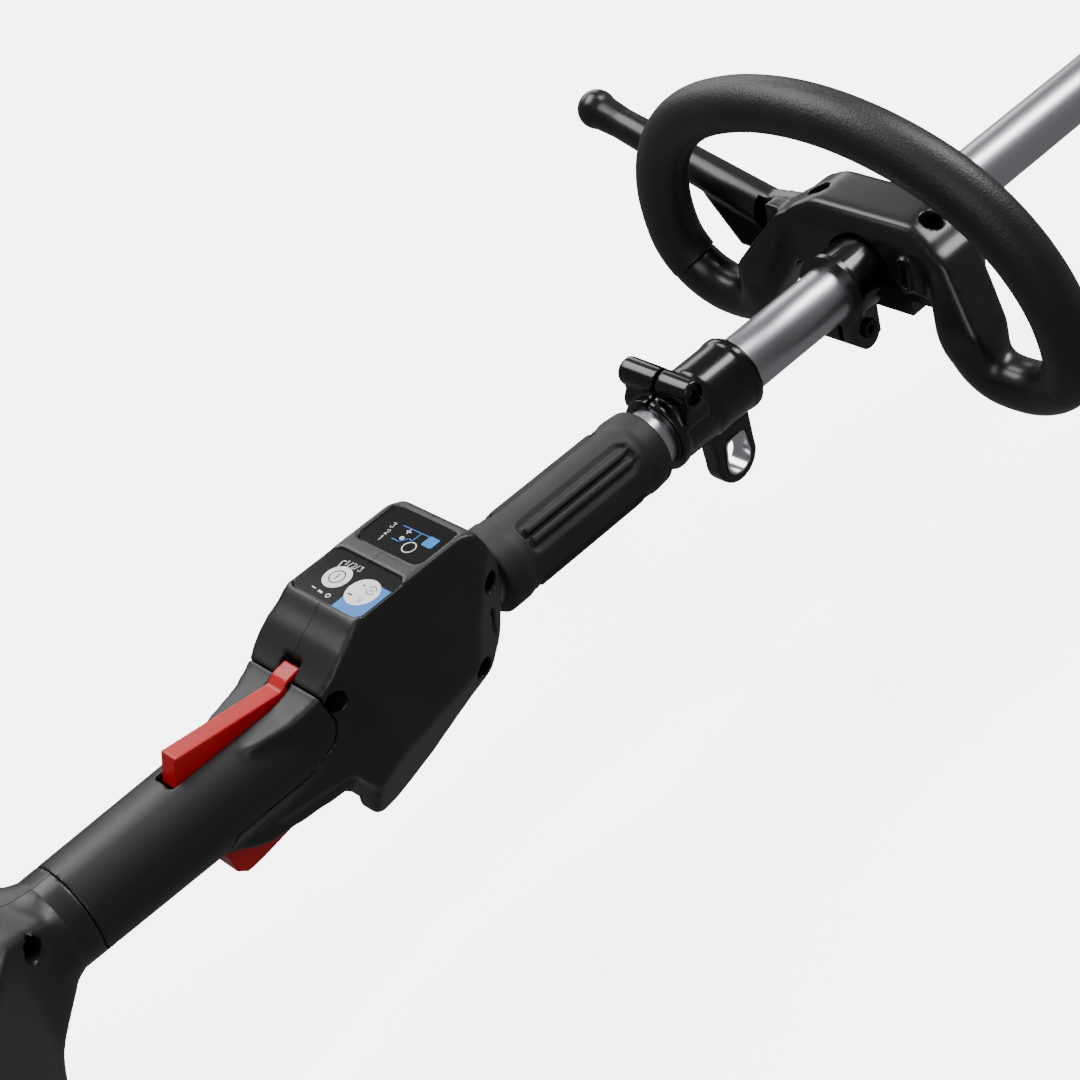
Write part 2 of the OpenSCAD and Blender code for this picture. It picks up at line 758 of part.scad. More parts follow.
module barrier_bar() {
    color("#1d1e20") place() difference() {
        union() {
            translate(bar_foot) rotate([0, 90 - bar_rise, bar_pan]) {
                cylinder(h = bar_len, r1 = 8, r2 = 6.4);
                translate([0, 0, bar_len]) sphere(bar_ball_r);
            }
            // foot plate bolted to the pad on the saddle's left shoulder
            block([saddle_rear + 17.5, 43.4, -4], [saddle_rear + 23, 58, 12]);
        }
        block([saddle_rear, 20, -16], [saddle_rear + 17.5, 68, 22]);
        block([saddle_rear, 20, -16], [saddle_front + 0.4, 43.4, 30]);
        for (z = bar_screw_z) translate([saddle_rear, bar_screw_y, z]) rotate([0, 90, 0])
            cylinder(h = 22, r = 1.6);
        for (z = bar_screw_z) translate([saddle_rear + 21, bar_screw_y, z]) rotate([0, 90, 0])
            cylinder(h = 40, r = 3.1);
    }
}

module barrier_screws() {
    color("#2e2f31") place() for (z = bar_screw_z)
        translate([saddle_rear + 21.1, bar_screw_y, z]) rotate([0, 90, 0]) cap_screw(1.5, 9, 2.9, 2.2);
}

// ---------------------------------------------------------------- power unit

battery_gap_y = 2;        // between the two batteries
battery_y = battery_gap_y / 2 + battery_w / 2;
rail_neck_w = 22;
rail_head_w = 30;
rail_h = 70;
rail_z = battery_bottom + 8;

module battery(side) {
    cy = side * battery_y;
    x1 = battery_wall_x - gap;
    x0 = x1 - battery_t;
    top = battery_bottom + battery_h;
    difference() {
        intersection() {
            block([x0, cy - battery_w / 2, battery_bottom], [x1, cy + battery_w / 2, top]);
            // bevelled upright edges and top
            translate([0, cy, 0]) linear_extrude(400, center = true) polygon([
                [x0, 8 - battery_w / 2], [x0 + 8, -battery_w / 2], [x1 + 1, -battery_w / 2],
                [x1 + 1, battery_w / 2], [x0 + 8, battery_w / 2], [x0, battery_w / 2 - 8]]);
            translate([0, cy + battery_w, 0]) rotate([90, 0, 0]) linear_extrude(2 * battery_w)
                polygon([[x0, battery_bottom - 1], [x0, top - 9], [x0 + 9, top], [x1 + 1, top],
                    [x1 + 1, battery_bottom - 1]]);
        }
        // channel that slides over the terminal block, open at the bottom
        block([x1 - 4, cy - rail_neck_w / 2 - gap, battery_bottom - 1],
              [x1 + 1, cy + rail_neck_w / 2 + gap, rail_z + rail_h + 1]);
        block([x1 - 8.6, cy - rail_head_w / 2 - gap, battery_bottom - 1],
              [x1 - 3.6, cy + rail_head_w / 2 + gap, rail_z + rail_h + 1]);
        // pocket for the latch button
        block([x0 + 11, cy - 12, top - 9], [x0 + 23, cy + 12, top + 1]);
    }
}

module battery_left() { color("#1b1c1e") place() battery(1); }
module battery_right() { color("#1b1c1e") place() battery(-1); }

// Button in the pocket on top of the battery, pushed rearwards to let it go
module latch_button(side) {
    x0 = battery_wall_x - gap - battery_t;
    top = battery_bottom + battery_h;
    translate([0, side * battery_y, 0]) {
        block([x0 + 15, -11.5, top - 8.6], [x0 + 22.5, 11.5, top - 1]);
        for (i = [0:2]) block([x0 + 16 + 2.2 * i, -10, top - 1.5], [x0 + 17 + 2.2 * i, 10, top]);
    }
}

module latch_button_left() { color("#a81f22") place() latch_button(1); }
module latch_button_right() { color("#a81f22") place() latch_button(-1); }

// T-shaped rails with the contacts, on the housing's rear wall
module terminal_blocks() {
    color("#2f3033") place() for (s = [-1, 1]) translate([battery_wall_x, s * battery_y, rail_z]) {
        block([-4.4, -rail_neck_w / 2, 0], [0, rail_neck_w / 2, rail_h]);
        block([-8.2, -rail_head_w / 2, 0], [-4.39, rail_head_w / 2, rail_h]);
    }
}

module rear_feet() {
    color("#161617") place() for (x = [unit_rear + 14, unit_front - 42], s = [-1, 1])
        translate([x, s * (unit_half_w - 16), -axis_height]) {
            cylinder(h = 5, r1 = 9, r2 = 10);
            translate([0, 0, 4.99]) cylinder(h = 2.01, r = 10);
        }
}

// ---------------------------------------------------------------- motor and its housing

motor_floor = -26;
motor_top = 50;
boss_r = 10.5;
shaft_r = 4;
bearing_r = 8;
neck_r = 20;

module motor_housing() {
    color("#232427") difference() {
        union() {
            head() {
                translate([0, 0, motor_floor]) cylinder(h = 4, r1 = motor_r - 3, r2 = motor_r);
                translate([0, 0, motor_floor + 4]) cylinder(h = motor_top - motor_floor - 4, r = motor_r);
            }
            place() along_x(head_x - 108, head_x - 24, neck_r - 1.5, neck_r + 1.5);
            // ears for the pinch bolts, below the neck
            place() for (x = [head_x - 98, head_x - 76])
                across_y(x, -18.5, -11, 11, 6.5);
        }
        head() difference() {
            translate([0, 0, motor_floor + 4]) cylinder(h = 100, r = motor_r - 3);
            translate([0, 0, motor_floor]) cylinder(h = 40, r = boss_r - fit);
        }
        head() {
            translate([0, 0, motor_floor - 1]) cylinder(h = 60, r = shaft_r + 1.5);
            translate([0, 0, motor_floor + 4]) cylinder(h = 60, r = bearing_r);
        }
        place() along_x(head_x - 110, tube_front, tube_r, tube_r);
        place() along_x(head_x - 60, head_x - 20, 6, 6);
        place() block([head_x - 110, -1, -40], [head_x - 64, 1, 0]);
        place() for (x = [head_x - 98, head_x - 76]) {
            across_y(x, -18.5, -20, 20, 2.6);
            across_y(x, -18.5, -20, -7, 4.6);
        }
        // cooling slots round the top
        head() for (a = [0:20:340]) if (abs(a - 180) > 50)
            rotate([0, 0, a]) block([motor_r - 8, -1.5, 32], [motor_r + 2, 1.5, 44]);
        // holes for the guard's bolts and the cover's screws
        head() for (s = [-1, 1]) rotate([0, 0, 180 + s * 38])
            translate([36, 0, motor_floor - 1]) cylinder(h = 12, r = 2.5);
    }
}

module motor_cover() {
    color("#2a2b2e") head() difference() {
        union() {
            translate([0, 0, motor_top]) cylinder(h = 5, r1 = 41.5, r2 = 39);
            translate([0, 0, motor_top + 5]) cylinder(h = 5, r1 = 39, r2 = 26);
            translate([0, 0, motor_top - 4]) cylinder(h = 4.01, r = motor_r - 3.2);
        }
        translate([0, 0, motor_top - 5]) cylinder(h = 9, r1 = 36, r2 = 34);
        for (a = [45:90:315]) rotate([0, 0, a]) {
            translate([37, 0, motor_top - 6]) cylinder(h = 30, r = 1.9);
            translate([37, 0, motor_top + 3]) cylinder(h = 30, r = 3.4);
        }
    }
}

module motor_housing_screws() {
    color("#3a3b3e") {
        head() for (a = [45:90:315]) rotate([0, 0, a])
            translate([37, 0, motor_top + 3]) cap_screw(1.8, 8, 3.2, 2.4);
        place() for (x = [head_x - 98, head_x - 76])
            translate([x, -7, -18.5]) rotate([90, 0, 0]) cap_screw(2.45, 17, 4.25, 4.6);
    }
}

stator_h = 24;
teeth = 9;

module stator() {
    color("#9a5a2c") head() difference() {
        union() {
            cylinder(h = stator_h, r = 14);
            for (i = [0:teeth - 1]) rotate([0, 0, i * 360 / teeth]) {
                translate([12, -2, 1]) cube([14, 4, stator_h - 2]);
                translate([15.5, -3.6, 2]) cube([7.5, 7.2, stator_h - 4]);
            }
            difference() {
                cylinder(h = stator_h, r = 27);
                translate([0, 0, -1]) cylinder(h = stator_h + 2, r = 25);
                for (i = [0:teeth - 1]) rotate([0, 0, (i + 0.5) * 360 / teeth])
                    translate([20, -1, -1]) cube([10, 2, stator_h + 2]);
            }
        }
        translate([0, 0, -1]) cylinder(h = stator_h + 2, r = boss_r);
    }
}

module rotor() {
    color("#5d6065") head() difference() {
        union() {
            translate([0, 0, -3]) cylinder(h = stator_h + 9, r = 31);
            translate([0, 0, stator_h + 3]) cylinder(h = 8, r = 8);
        }
        translate([0, 0, -4]) cylinder(h = stator_h + 6.5, r = 27.8);
        translate([0, 0, 0]) cylinder(h = 60, r = shaft_r);
        for (a = [0:60:300]) rotate([0, 0, a]) translate([18, 0, 20]) cylinder(h = 20, r = 5);
    }
}

module motor_shaft() {
    color("#a9acb0") head() translate([0, 0, -60]) cylinder(h = 97, r = shaft_r);
}

module motor_bearings() {
    color("#8d9094") head() for (z = [motor_floor + 4, 7])
        translate([0, 0, z]) ring(bearing_r, shaft_r + fit, 7);
}

// ---------------------------------------------------------------- line head

module shaft_adapter() {
    color("#8d9094") head() difference() {
        union() {
            translate([0, 0, -30]) cylinder(h = 2, r = 29);
            translate([0, 0, -35.9]) cylinder(h = 6, r = 11);
        }
        translate([0, 0, -40]) cylinder(h = 20, r = shaft_r);
    }
}

drum_top = -36;
drum_bottom = -62;

module head_drum() {
    color("#1f2022") head() difference() {
        union() {
            translate([0, 0, drum_top - 4]) cylinder(h = 4, r1 = drum_r, r2 = drum_r - 5);
            translate([0, 0, drum_bottom]) cylinder(h = drum_top - drum_bottom - 4, r = drum_r);
            // finger ribs round the rim
            for (a = [0:15:345]) rotate([0, 0, a])
                block([drum_r - 1, -1.4, drum_bottom], [drum_r + 1.4, 1.4, drum_top - 6]);
        }
        translate([0, 0, drum_bottom - 1]) cylinder(h = drum_top - drum_bottom - 2, r = drum_r - 2.6);
        translate([0, 0, -80]) cylinder(h = 60, r = shaft_r);
        for (s = [0, 180]) rotate([0, 0, 90 + s])
            translate([drum_r - 10, 0, -51]) rotate([0, 90, 0]) cylinder(h = 20, r = 4);
    }
}

module line_eyelets() {
    color("#c9ccd0") head() for (s = [0, 180]) rotate([0, 0, 90 + s])
        translate([drum_r - 3, 0, -51]) rotate([0, 90, 0]) {
            ring(4, 1.7, 6);
            translate([0, 0, 5.4]) ring(5, 1.7, 1.4);
        }
}

module head_cover() {
    color("#26272a") head() difference() {
        translate([0, 0, drum_bottom - 3]) cylinder(h = 3, r1 = drum_r - 2, r2 = drum_r);
        translate([0, 0, drum_bottom - 4]) cylinder(h = 5, r = 26);
    }
}

spool_bottom = -60;
spool_top = -47;

module spool() {
    color("#d0d1cf") head() difference() {
        union() {
            translate([0, 0, spool_bottom]) cylinder(h = 1.5, r = 44);
            translate([0, 0, -54.2]) cylinder(h = 1.2, r = 44);
            translate([0, 0, spool_top - 1.5]) cylinder(h = 1.5, r = 44);
            translate([0, 0, spool_bottom]) cylinder(h = spool_top - spool_bottom, r = 22);
        }
        translate([0, 0, -70]) cylinder(h = 40, r = 8 + fit);
    }
}

// Line wound on the spool, one hank above and one below the middle flange
module line_winding() {
    color("#d9742b") head() for (z = [spool_bottom + 1.5, -53])
        translate([0, 0, z]) ring(38, 22, 4.3);
}

module spool_spring() {
    color("#8f9296") head() translate([0, 0, spool_top]) coil_spring(13, 0.9, 7.4, 3);
}

module bump_knob() {
    color("#c3161c") head() difference() {
        union() {
            translate([0, 0, -80]) cylinder(h = 6, r1 = 15, r2 = 22);
            translate([0, 0, -74]) cylinder(h = 13.7, r = 24);
            translate([0, 0, -64]) cylinder(h = 18, r = 8);
        }
        translate([0, 0, -66]) cylinder(h = 30, r = shaft_r + fit);
        for (a = [0:60:300]) rotate([0, 0, a]) translate([29, 0, -80]) cylinder(h = 15, r = 7);
    }
}

// ---------------------------------------------------------------- guard

guard_top = -30;
guard_plate_t = 3;
guard_skirt_t = 3;
guard_skirt_bottom = -56;

// Sector of the plane that the guard covers, open towards the front
module guard_sector(r) {
    a = guard_half_angle;
    linear_extrude(200, center = true) polygon([
        [0, 0], [r * cos(180 - a), r * sin(180 - a)], [-2 * r, 2 * r * sin(a)],
        [-2 * r, -2 * r * sin(a)], [r * cos(180 - a), -r * sin(180 - a)]]);
}

module guard() {
    color("#1c1d1f") difference() {
        head() {
            difference() {
                intersection() {
                    union() {
                        translate([0, 0, guard_top - guard_plate_t])
                            cylinder(h = guard_plate_t, r = guard_r);
                        translate([0, 0, guard_skirt_bottom]) difference() {
                            cylinder(h = guard_top - guard_skirt_bottom - 1, r = guard_r);
                            translate([0, 0, -1])
                                cylinder(h = guard_top - guard_skirt_bottom + 2,
                                    r = guard_r - guard_skirt_t);
                        }
                        // stiffening ribs under the plate
                        for (a = [150:20:210]) rotate([0, 0, a])
                            block([60, -1.2, guard_top - 12], [guard_r - 2, 1.2, guard_top - 2]);
                    }
                    guard_sector(guard_r);
                }
                translate([0, 0, -100]) cylinder(h = 200, r = 31.5);
            }
            // pads that meet the motor housing's floor
            for (s = [-1, 1]) rotate([0, 0, 180 + s * 38])
                translate([36, 0, guard_top - 1]) cylinder(h = motor_floor - guard_top + 1, r = 5);
        }
        head() for (s = [-1, 1]) rotate([0, 0, 180 + s * 38])
            translate([36, 0, -60]) cylinder(h = 60, r = 2.6);
        // lowest edge worn flat where the guard meets the ground
        place() block([head_x - 300, -200, -axis_height - 30], [head_x + 100, 200, -axis_height]);
    }
}

module guard_bolts() {
    color("#3a3b3e") head() for (s = [-1, 1]) rotate([0, 0, 180 + s * 38])
        translate([36, 0, guard_top - guard_plate_t]) rotate([180, 0, 0])
            cap_screw(2.4, 16, 4.2, 2.4);
}

// Blade that trims the line, on the inside of the skirt's left end
module line_cutter_blade() {
    color("#a9acb0") head() rotate([0, 0, 180 - guard_half_angle + 7])
        translate([guard_r - guard_skirt_t - 0.8, 0, 0]) difference() {
            union() {
                block([-1.5, -14, -54], [0, 14, -38]);
                block([-10, -14, -50], [0, -12.5, -42]);
            }
            for (y = [-7, 7]) translate([-5, y, -46]) rotate([0, 90, 0]) cylinder(h = 10, r = 1.6);
        }
}

// ---------------------------------------------------------------- nodes

shaft_tube();
motor_cable();
cable_spacers();
housing_shell_right();
housing_shell_left();
rear_grip_cover();
housing_screws();
control_panel_film();
indicator_panel_film();
power_button();
reverse_button();
button_board();
speed_leds();
controller_board();
switch_unit();
power_leads();
lock_off_lever();
lock_off_pin();
lock_off_spring();
trigger();
trigger_pin();
trigger_spring();
front_grip();
hanger_clamp();
hanger_bolt();
hanger_nut();
hanger_eye_liner();
handle_collar();
collar_bolt();
handle_saddle();
loop_bar();
loop_grip();
handle_lower_clamp();
handle_screws();
barrier_bar();
barrier_screws();
battery_left();
battery_right();
latch_button_left();
latch_button_right();
terminal_blocks();
rear_feet();
motor_housing();
motor_cover();
motor_housing_screws();
stator();
rotor();
motor_shaft();
motor_bearings();
shaft_adapter();
head_drum();
head_cover();
line_eyelets();
spool();
line_winding();
spool_spring();
bump_knob();
guard();
guard_bolts();
line_cutter_blade();
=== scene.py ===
"""Looks of a cordless string trimmer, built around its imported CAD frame, in metres."""
import json
import math

import bmesh
import bpy
from mathutils import Matrix, Quaternion, Vector


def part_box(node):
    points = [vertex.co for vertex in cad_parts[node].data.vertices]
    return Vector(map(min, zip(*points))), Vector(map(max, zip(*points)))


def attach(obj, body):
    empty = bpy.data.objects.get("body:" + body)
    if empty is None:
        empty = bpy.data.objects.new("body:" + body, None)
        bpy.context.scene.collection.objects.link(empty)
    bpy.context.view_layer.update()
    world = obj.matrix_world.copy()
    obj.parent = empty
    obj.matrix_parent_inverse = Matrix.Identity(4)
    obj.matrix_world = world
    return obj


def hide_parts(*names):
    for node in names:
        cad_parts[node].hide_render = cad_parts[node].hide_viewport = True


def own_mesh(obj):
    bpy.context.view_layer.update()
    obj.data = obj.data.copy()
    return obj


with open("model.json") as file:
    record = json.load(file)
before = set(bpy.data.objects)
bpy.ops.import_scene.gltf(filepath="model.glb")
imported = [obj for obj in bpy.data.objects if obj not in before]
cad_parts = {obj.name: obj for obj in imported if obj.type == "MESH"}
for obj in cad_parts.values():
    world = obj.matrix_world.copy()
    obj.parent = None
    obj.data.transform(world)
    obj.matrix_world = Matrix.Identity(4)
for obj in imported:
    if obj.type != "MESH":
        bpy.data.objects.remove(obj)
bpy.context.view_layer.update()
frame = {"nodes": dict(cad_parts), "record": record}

MM = 0.001
NODES = frame["nodes"]
BODY_OF = {n: b for b, ns in frame["record"]["behaviour"]["bodies"].items() for n in ns}

# The shaft's axis: stations along it are millimetres from the balance point
TUBE_REAR = -225
tube_low, tube_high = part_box("shaft_tube")
STATION_ZERO = tube_low.x - TUBE_REAR * MM
AXIS_Y = (tube_low.y + tube_high.y) / 2
AXIS_Z = (tube_low.z + tube_high.z) / 2


def at(x, y, z):
    """A point given by its station, its offset to the left and its height over the axis."""
    return Vector((STATION_ZERO + x * MM, AXIS_Y + y * MM, AXIS_Z + z * MM))


# ------------------------------------------------------------------ camera, light, floor

def make_camera():
    data = bpy.data.cameras.new("camera")
    data.sensor_width = 36
    data.lens = 76
    data.clip_start = 0.02
    camera = bpy.data.objects.new("camera", data)
    bpy.context.scene.collection.objects.link(camera)
    camera.location = at(-550.5, -581.4, 537.9)
    look = Vector((0.45399, 0.65164, -0.60766))
    level = look.to_track_quat("-Z", "Y")
    roll = Quaternion((0, 0, 1), math.radians(-16.38))
    camera.rotation_mode = "QUATERNION"
    camera.rotation_quaternion = level @ roll
    bpy.context.scene.camera = camera


def area_light(name, place, target, size, power):
    data = bpy.data.lights.new(name, "AREA")
    data.shape = "RECTANGLE"
    data.size, data.size_y = size
    data.energy = power
    light = bpy.data.objects.new(name, data)
    bpy.context.scene.collection.objects.link(light)
    light.location = place
    light.rotation_euler = (target - place).to_track_quat("-Z", "Y").to_euler()


def make_studio():
    middle = at(-100, 0, 0)
    area_light("key_softbox", at(-200, 1000, 1500), middle, (1.3, 0.9), 34)
    area_light("fill_softbox", at(-1200, -900, 1100), middle, (1.2, 0.9), 8)
    area_light("strip_softbox", at(1250, -250, 1500), middle, (0.5, 1.3), 34)
    area_light("side_softbox", at(650, 1350, 500), middle, (1.3, 0.5), 7)
    world = bpy.data.worlds.new("studio")
    bpy.context.scene.world = world
    world.use_nodes = True
    background = world.node_tree.nodes["Background"]
    background.inputs["Color"].default_value = (1, 1, 1, 1)
    background.inputs["Strength"].default_value = 0.22
    bm = bmesh.new()
    bmesh.ops.create_grid(bm, x_segments=2, y_segments=2, size=20)
    bmesh.ops.translate(bm, verts=bm.verts, vec=(0, 0, -0.0005))
    mesh = bpy.data.meshes.new("floor")
    bm.to_mesh(mesh)
    bm.free()
    floor = bpy.data.objects.new("floor", mesh)
    bpy.context.scene.collection.objects.link(floor)
    mesh.materials.append(backdrop_paper())
    floor.visible_glossy = False
    floor.visible_diffuse = False


# ------------------------------------------------------------------ materials

def linear(hex_colour):
    """sRGB hex to the linear RGBA that the shaders take."""
    values = [int(hex_colour[i:i + 2], 16) / 255 for i in (1, 3, 5)]
    return tuple(v / 12.92 if v <= 0.04045 else ((v + 0.055) / 1.055) ** 2.4
                 for v in values) + (1.0,)


def add(tree, kind, links=None, **settings):
    """Adds a node. links maps an input's name or number to the socket that feeds it."""
    made = tree.nodes.new(kind)
    for key, value in settings.items():
        if hasattr(made, key):
            setattr(made, key, value)
        else:
            made.inputs[key.replace("_", " ")].default_value = value
    for key, socket in (links or {}).items():
        tree.links.new(socket, made.inputs[key])
    return made


def surface(name, colour, roughness, **settings):
    """A new material and its shader, with the values that are the same all over."""
    material = bpy.data.materials.new(name)
    material.use_nodes = True
    tree = material.node_tree
    shader = tree.nodes["Principled BSDF"]
    shader.inputs["Base Color"].default_value = linear(colour)
    shader.inputs["Roughness"].default_value = roughness
    for key, value in settings.items():
        shader.inputs[key.replace("_", " ")].default_value = value
    material.diffuse_color = linear(colour)
    return material, tree, shader


def grain(tree, shader, grain_mm, depth_mm):
    """Moulded or sprayed grain as bump. grain_mm is the width of one grain."""
    place = add(tree, "ShaderNodeTexCoord")
    noise = add(tree, "ShaderNodeTexNoise", {"Vector": place.outputs["Object"]},
                Scale=1 / (grain_mm * MM), Detail=3.0, Roughness=0.6)
    bump = add(tree, "ShaderNodeBump", {"Height": noise.outputs["Fac"]},
               Distance=depth_mm * MM, Strength=1.0)
    tree.links.new(bump.outputs["Normal"], shader.inputs["Normal"])
    return place


def shade_varied(tree, shader, place, dark, light, patch_mm):
    """Slow drift between two close colours, as handling and dust give plastic."""
    noise = add(tree, "ShaderNodeTexNoise", {"Vector": place.outputs["Object"]},
                Scale=1 / (patch_mm * MM), Detail=4.0)
    ramp = add(tree, "ShaderNodeValToRGB", {"Fac": noise.outputs["Fac"]})
    ramp.color_ramp.elements[0].position = 0.35
    ramp.color_ramp.elements[0].color = linear(dark)
    ramp.color_ramp.elements[1].position = 0.7
    ramp.color_ramp.elements[1].color = linear(light)
    tree.links.new(ramp.outputs["Color"], shader.inputs["Base Color"])


def backdrop_paper():
    # matt white seamless paper, lit from behind as on a product table
    material, tree, shader = surface("seamless_paper", "#fafafa", 0.9)
    shader.inputs["Emission Color"].default_value = (1, 1, 1, 1)
    shader.inputs["Emission Strength"].default_value = 4.5
    grain(tree, shader, 2.0, 0.02)
    return material


def glass_filled_nylon():
    # moulded PA6-GF with a fine spark-eroded texture: dark grey with a broad soft sheen
    material, tree, shader = surface("glass_filled_nylon", "#121214", 0.4, IOR=1.5)
    place = grain(tree, shader, 0.55, 0.03)
    shade_varied(tree, shader, place, "#101012", "#161618", 40)
    return material


def smooth_nylon():
    # polished-tool nylon of the clamps and handle castings: smoother, a little darker
    material, tree, shader = surface("smooth_nylon", "#0e0f10", 0.3, IOR=1.5)
    place = grain(tree, shader, 1.2, 0.012)
    shade_varied(tree, shader, place, "#0c0d0e", "#131415", 30)
    return material


def gloss_nylon():
    # hanger and collar mouldings with a high polish
    material, tree, shader = surface("gloss_nylon", "#070708", 0.2, IOR=1.5)
    place = grain(tree, shader, 3.0, 0.01)
    shade_varied(tree, shader, place, "#060607", "#0b0b0c", 25)
    return material


def soft_overmould():
    # thermoplastic elastomer skinned over the grip: matt, slightly lighter than the nylon
    material, tree, shader = surface("elastomer_overmould", "#121213", 0.48, IOR=1.5)
    place = grain(tree, shader, 0.45, 0.02)
    shade_varied(tree, shader, place, "#101011", "#161617", 25)
    return material


def grained_foam_skin():
    # loop grip with a leathery pebble grain of about a millimetre
    material, tree, shader = surface("pebbled_grip_skin", "#111111", 0.46, IOR=1.5)
    place = add(tree, "ShaderNodeTexCoord")
    pebble = add(tree, "ShaderNodeTexVoronoi", {"Vector": place.outputs["Object"]},
                 feature="SMOOTH_F1", Scale=1 / (1.1 * MM))
    fine = add(tree, "ShaderNodeTexNoise", {"Vector": place.outputs["Object"]},
               Scale=1 / (0.6 * MM), Detail=2.0)
    mix = add(tree, "ShaderNodeMath", {0: pebble.outputs["Distance"], 1: fine.outputs["Fac"]},
              operation="ADD")
    bump = add(tree, "ShaderNodeBump", {"Height": mix.outputs["Value"]},
               Distance=0.12 * MM, Strength=1.0)
    tree.links.new(bump.outputs["Normal"], shader.inputs["Normal"])
    shade_varied(tree, shader, place, "#0f0f0f", "#161616", 20)
    return material


def black_rubber():
    # vulcanised rubber sleeve: matt, faint dusty lift in the colour
    material, tree, shader = surface("black_rubber", "#141414", 0.6, IOR=1.5)
    place = grain(tree, shader, 0.6, 0.03)
    shade_varied(tree, shader, place, "#111111", "#1a1a1b", 18)
    return material


def anodised_tube():
    # drawn and satin-anodised aluminium: fine lines run along the tube
    material, tree, shader = surface("satin_anodised_aluminium", "#b9bbc0", 0.33, Metallic=1.0)
    place = add(tree, "ShaderNodeTexCoord")
    stretch = add(tree, "ShaderNodeMapping", {"Vector": place.outputs["Object"]},
                  Scale=(0.01, 1, 1))
    lines = add(tree, "ShaderNodeTexNoise", {"Vector": stretch.outputs["Vector"]},
                Scale=1 / (0.35 * MM), Detail=4.0)
    rough = add(tree, "ShaderNodeMapRange", {"Value": lines.outputs["Fac"]},
                To_Min=0.28, To_Max=0.4)
    bump = add(tree, "ShaderNodeBump", {"Height": lines.outputs["Fac"]},
               Distance=0.006 * MM, Strength=0.6)
    tree.links.new(rough.outputs["Result"], shader.inputs["Roughness"])
    tree.links.new(bump.outputs["Normal"], shader.inputs["Normal"])
    return material


def red_abs():
    # self-coloured ABS, moulded glossy
    material, tree, shader = surface("red_abs", "#b5040a", 0.36, IOR=1.45)
    place = grain(tree, shader, 1.0, 0.01)
    shade_varied(tree, shader, place, "#af0309", "#bb050c", 15)
    return material


def panel_polyester():
    # hard-coated polyester film printed black from behind
    material, tree, shader = surface("panel_film_black", "#050506", 0.16, IOR=1.5)
    grain(tree, shader, 1.5, 0.004)
    return material


def print_ink(name, colour):
    # screen print under the film's coat
    material, tree, shader = surface(name, colour, 0.3, IOR=1.5)
    grain(tree, shader, 0.8, 0.004)
    return material


def blackened_steel():
    # black-oxide cap screws with an oily half-gloss
    material, tree, shader = surface("black_oxide_steel", "#2c2d30", 0.38, Metallic=1.0)
    grain(tree, shader, 0.5, 0.01)
    return material


def bright_steel():
    # zinc-plated and polished steel
    material, tree, shader = surface("zinc_plated_steel", "#c7cacd", 0.22, Metallic=1.0)
    grain(tree, shader, 0.8, 0.006)
    return material


def spring_wire():
    # drawn music wire
    material, tree, shader = surface("spring_wire", "#8e9195", 0.3, Metallic=1.0)
    grain(tree, shader, 0.3, 0.004)
    return material


def enamelled_copper():
    # winding wire under amber enamel
    material, tree, shader = surface("enamelled_copper", "#b0642c", 0.35, Metallic=1.0)
    place = add(tree, "ShaderNodeTexCoord")
    wires = add(tree, "ShaderNodeTexWave", {"Vector": place.outputs["Object"]},
                bands_direction="Z", Scale=0.5 / (0.8 * MM))
    bump = add(tree, "ShaderNodeBump", {"Height": wires.outputs["Fac"]}, Distance=0.2 * MM)
    tree.links.new(bump.outputs["Normal"], shader.inputs["Normal"])
    return material


def nickel_iron():
    # rotor bell, nickel plated
    material, tree, shader = surface("nickel_plated_iron", "#8b8c8e", 0.35, Metallic=1.0)
    grain(tree, shader, 1.0, 0.01)
    return material


def solder_mask():
    # glass-epoxy board under green mask
    material, tree, shader = surface("green_solder_mask", "#174a2b", 0.35)
    grain(tree, shader, 0.9, 0.02)
    return material


def clear_lens():
    # clear acrylic light window
    material, tree, shader = surface("clear_acrylic", "#dfe8f4", 0.15, IOR=1.49)
    grain(tree, shader, 1.0, 0.003)
    return material


def natural_nylon(name, colour):
    # unpigmented or dyed nylon with a waxy surface
    material, tree, shader = surface(name, colour, 0.45, IOR=1.53)
    grain(tree, shader, 0.8, 0.02)
    return material


NYLON = glass_filled_nylon()
SMOOTH = smooth_nylon()
GLOSS = gloss_nylon()
OVERMOULD = soft_overmould()
PEBBLE = grained_foam_skin()
RUBBER = black_rubber()
ALUMINIUM = anodised_tube()
RED = red_abs()
FILM = panel_polyester()
WHITE_INK = print_ink("white_ink", "#eeeff0")
BLUE_INK = print_ink("blue_ink", "#1c76c6")
OXIDE = blackened_steel()
STEEL = bright_steel()
WIRE = spring_wire()
COPPER = enamelled_copper()
IRON = nickel_iron()
BOARD = solder_mask()
LENS = clear_lens()
SPOOL_NYLON = natural_nylon("natural_nylon", "#c9cac5")
LINE_NYLON = natural_nylon("orange_line_nylon", "#cf6a26")
RED_RUBBER = natural_nylon("red_silicone_jacket", "#7a1a1c")

SLOT_MATERIAL = {
    "tube_aluminium": ALUMINIUM, "housing_nylon": NYLON, "grip_rubber": RUBBER,
    "handle_nylon": SMOOTH, "gloss_black": GLOSS, "red_plastic": RED,
    "white_print": WHITE_INK, "panel_film": FILM, "black_steel": OXIDE,
    "bright_steel": STEEL, "spring_steel": WIRE, "copper_winding": COPPER,
    "magnet_iron": IRON, "circuit_board": BOARD, "clear_plastic": LENS,
    "cable_jacket": RUBBER, "lead_jacket": RED_RUBBER, "spool_nylon": SPOOL_NYLON,
    "line_nylon": LINE_NYLON,
}
SLOT_OF = {s["node"]: s["material_slot"] for s in frame["record"]["subparts"]}


def dress_cad_nodes():
    for name, node in NODES.items():
        node.data.materials.clear()
        node.data.materials.append(SLOT_MATERIAL[SLOT_OF[name]])


# ------------------------------------------------------------------ mesh helpers

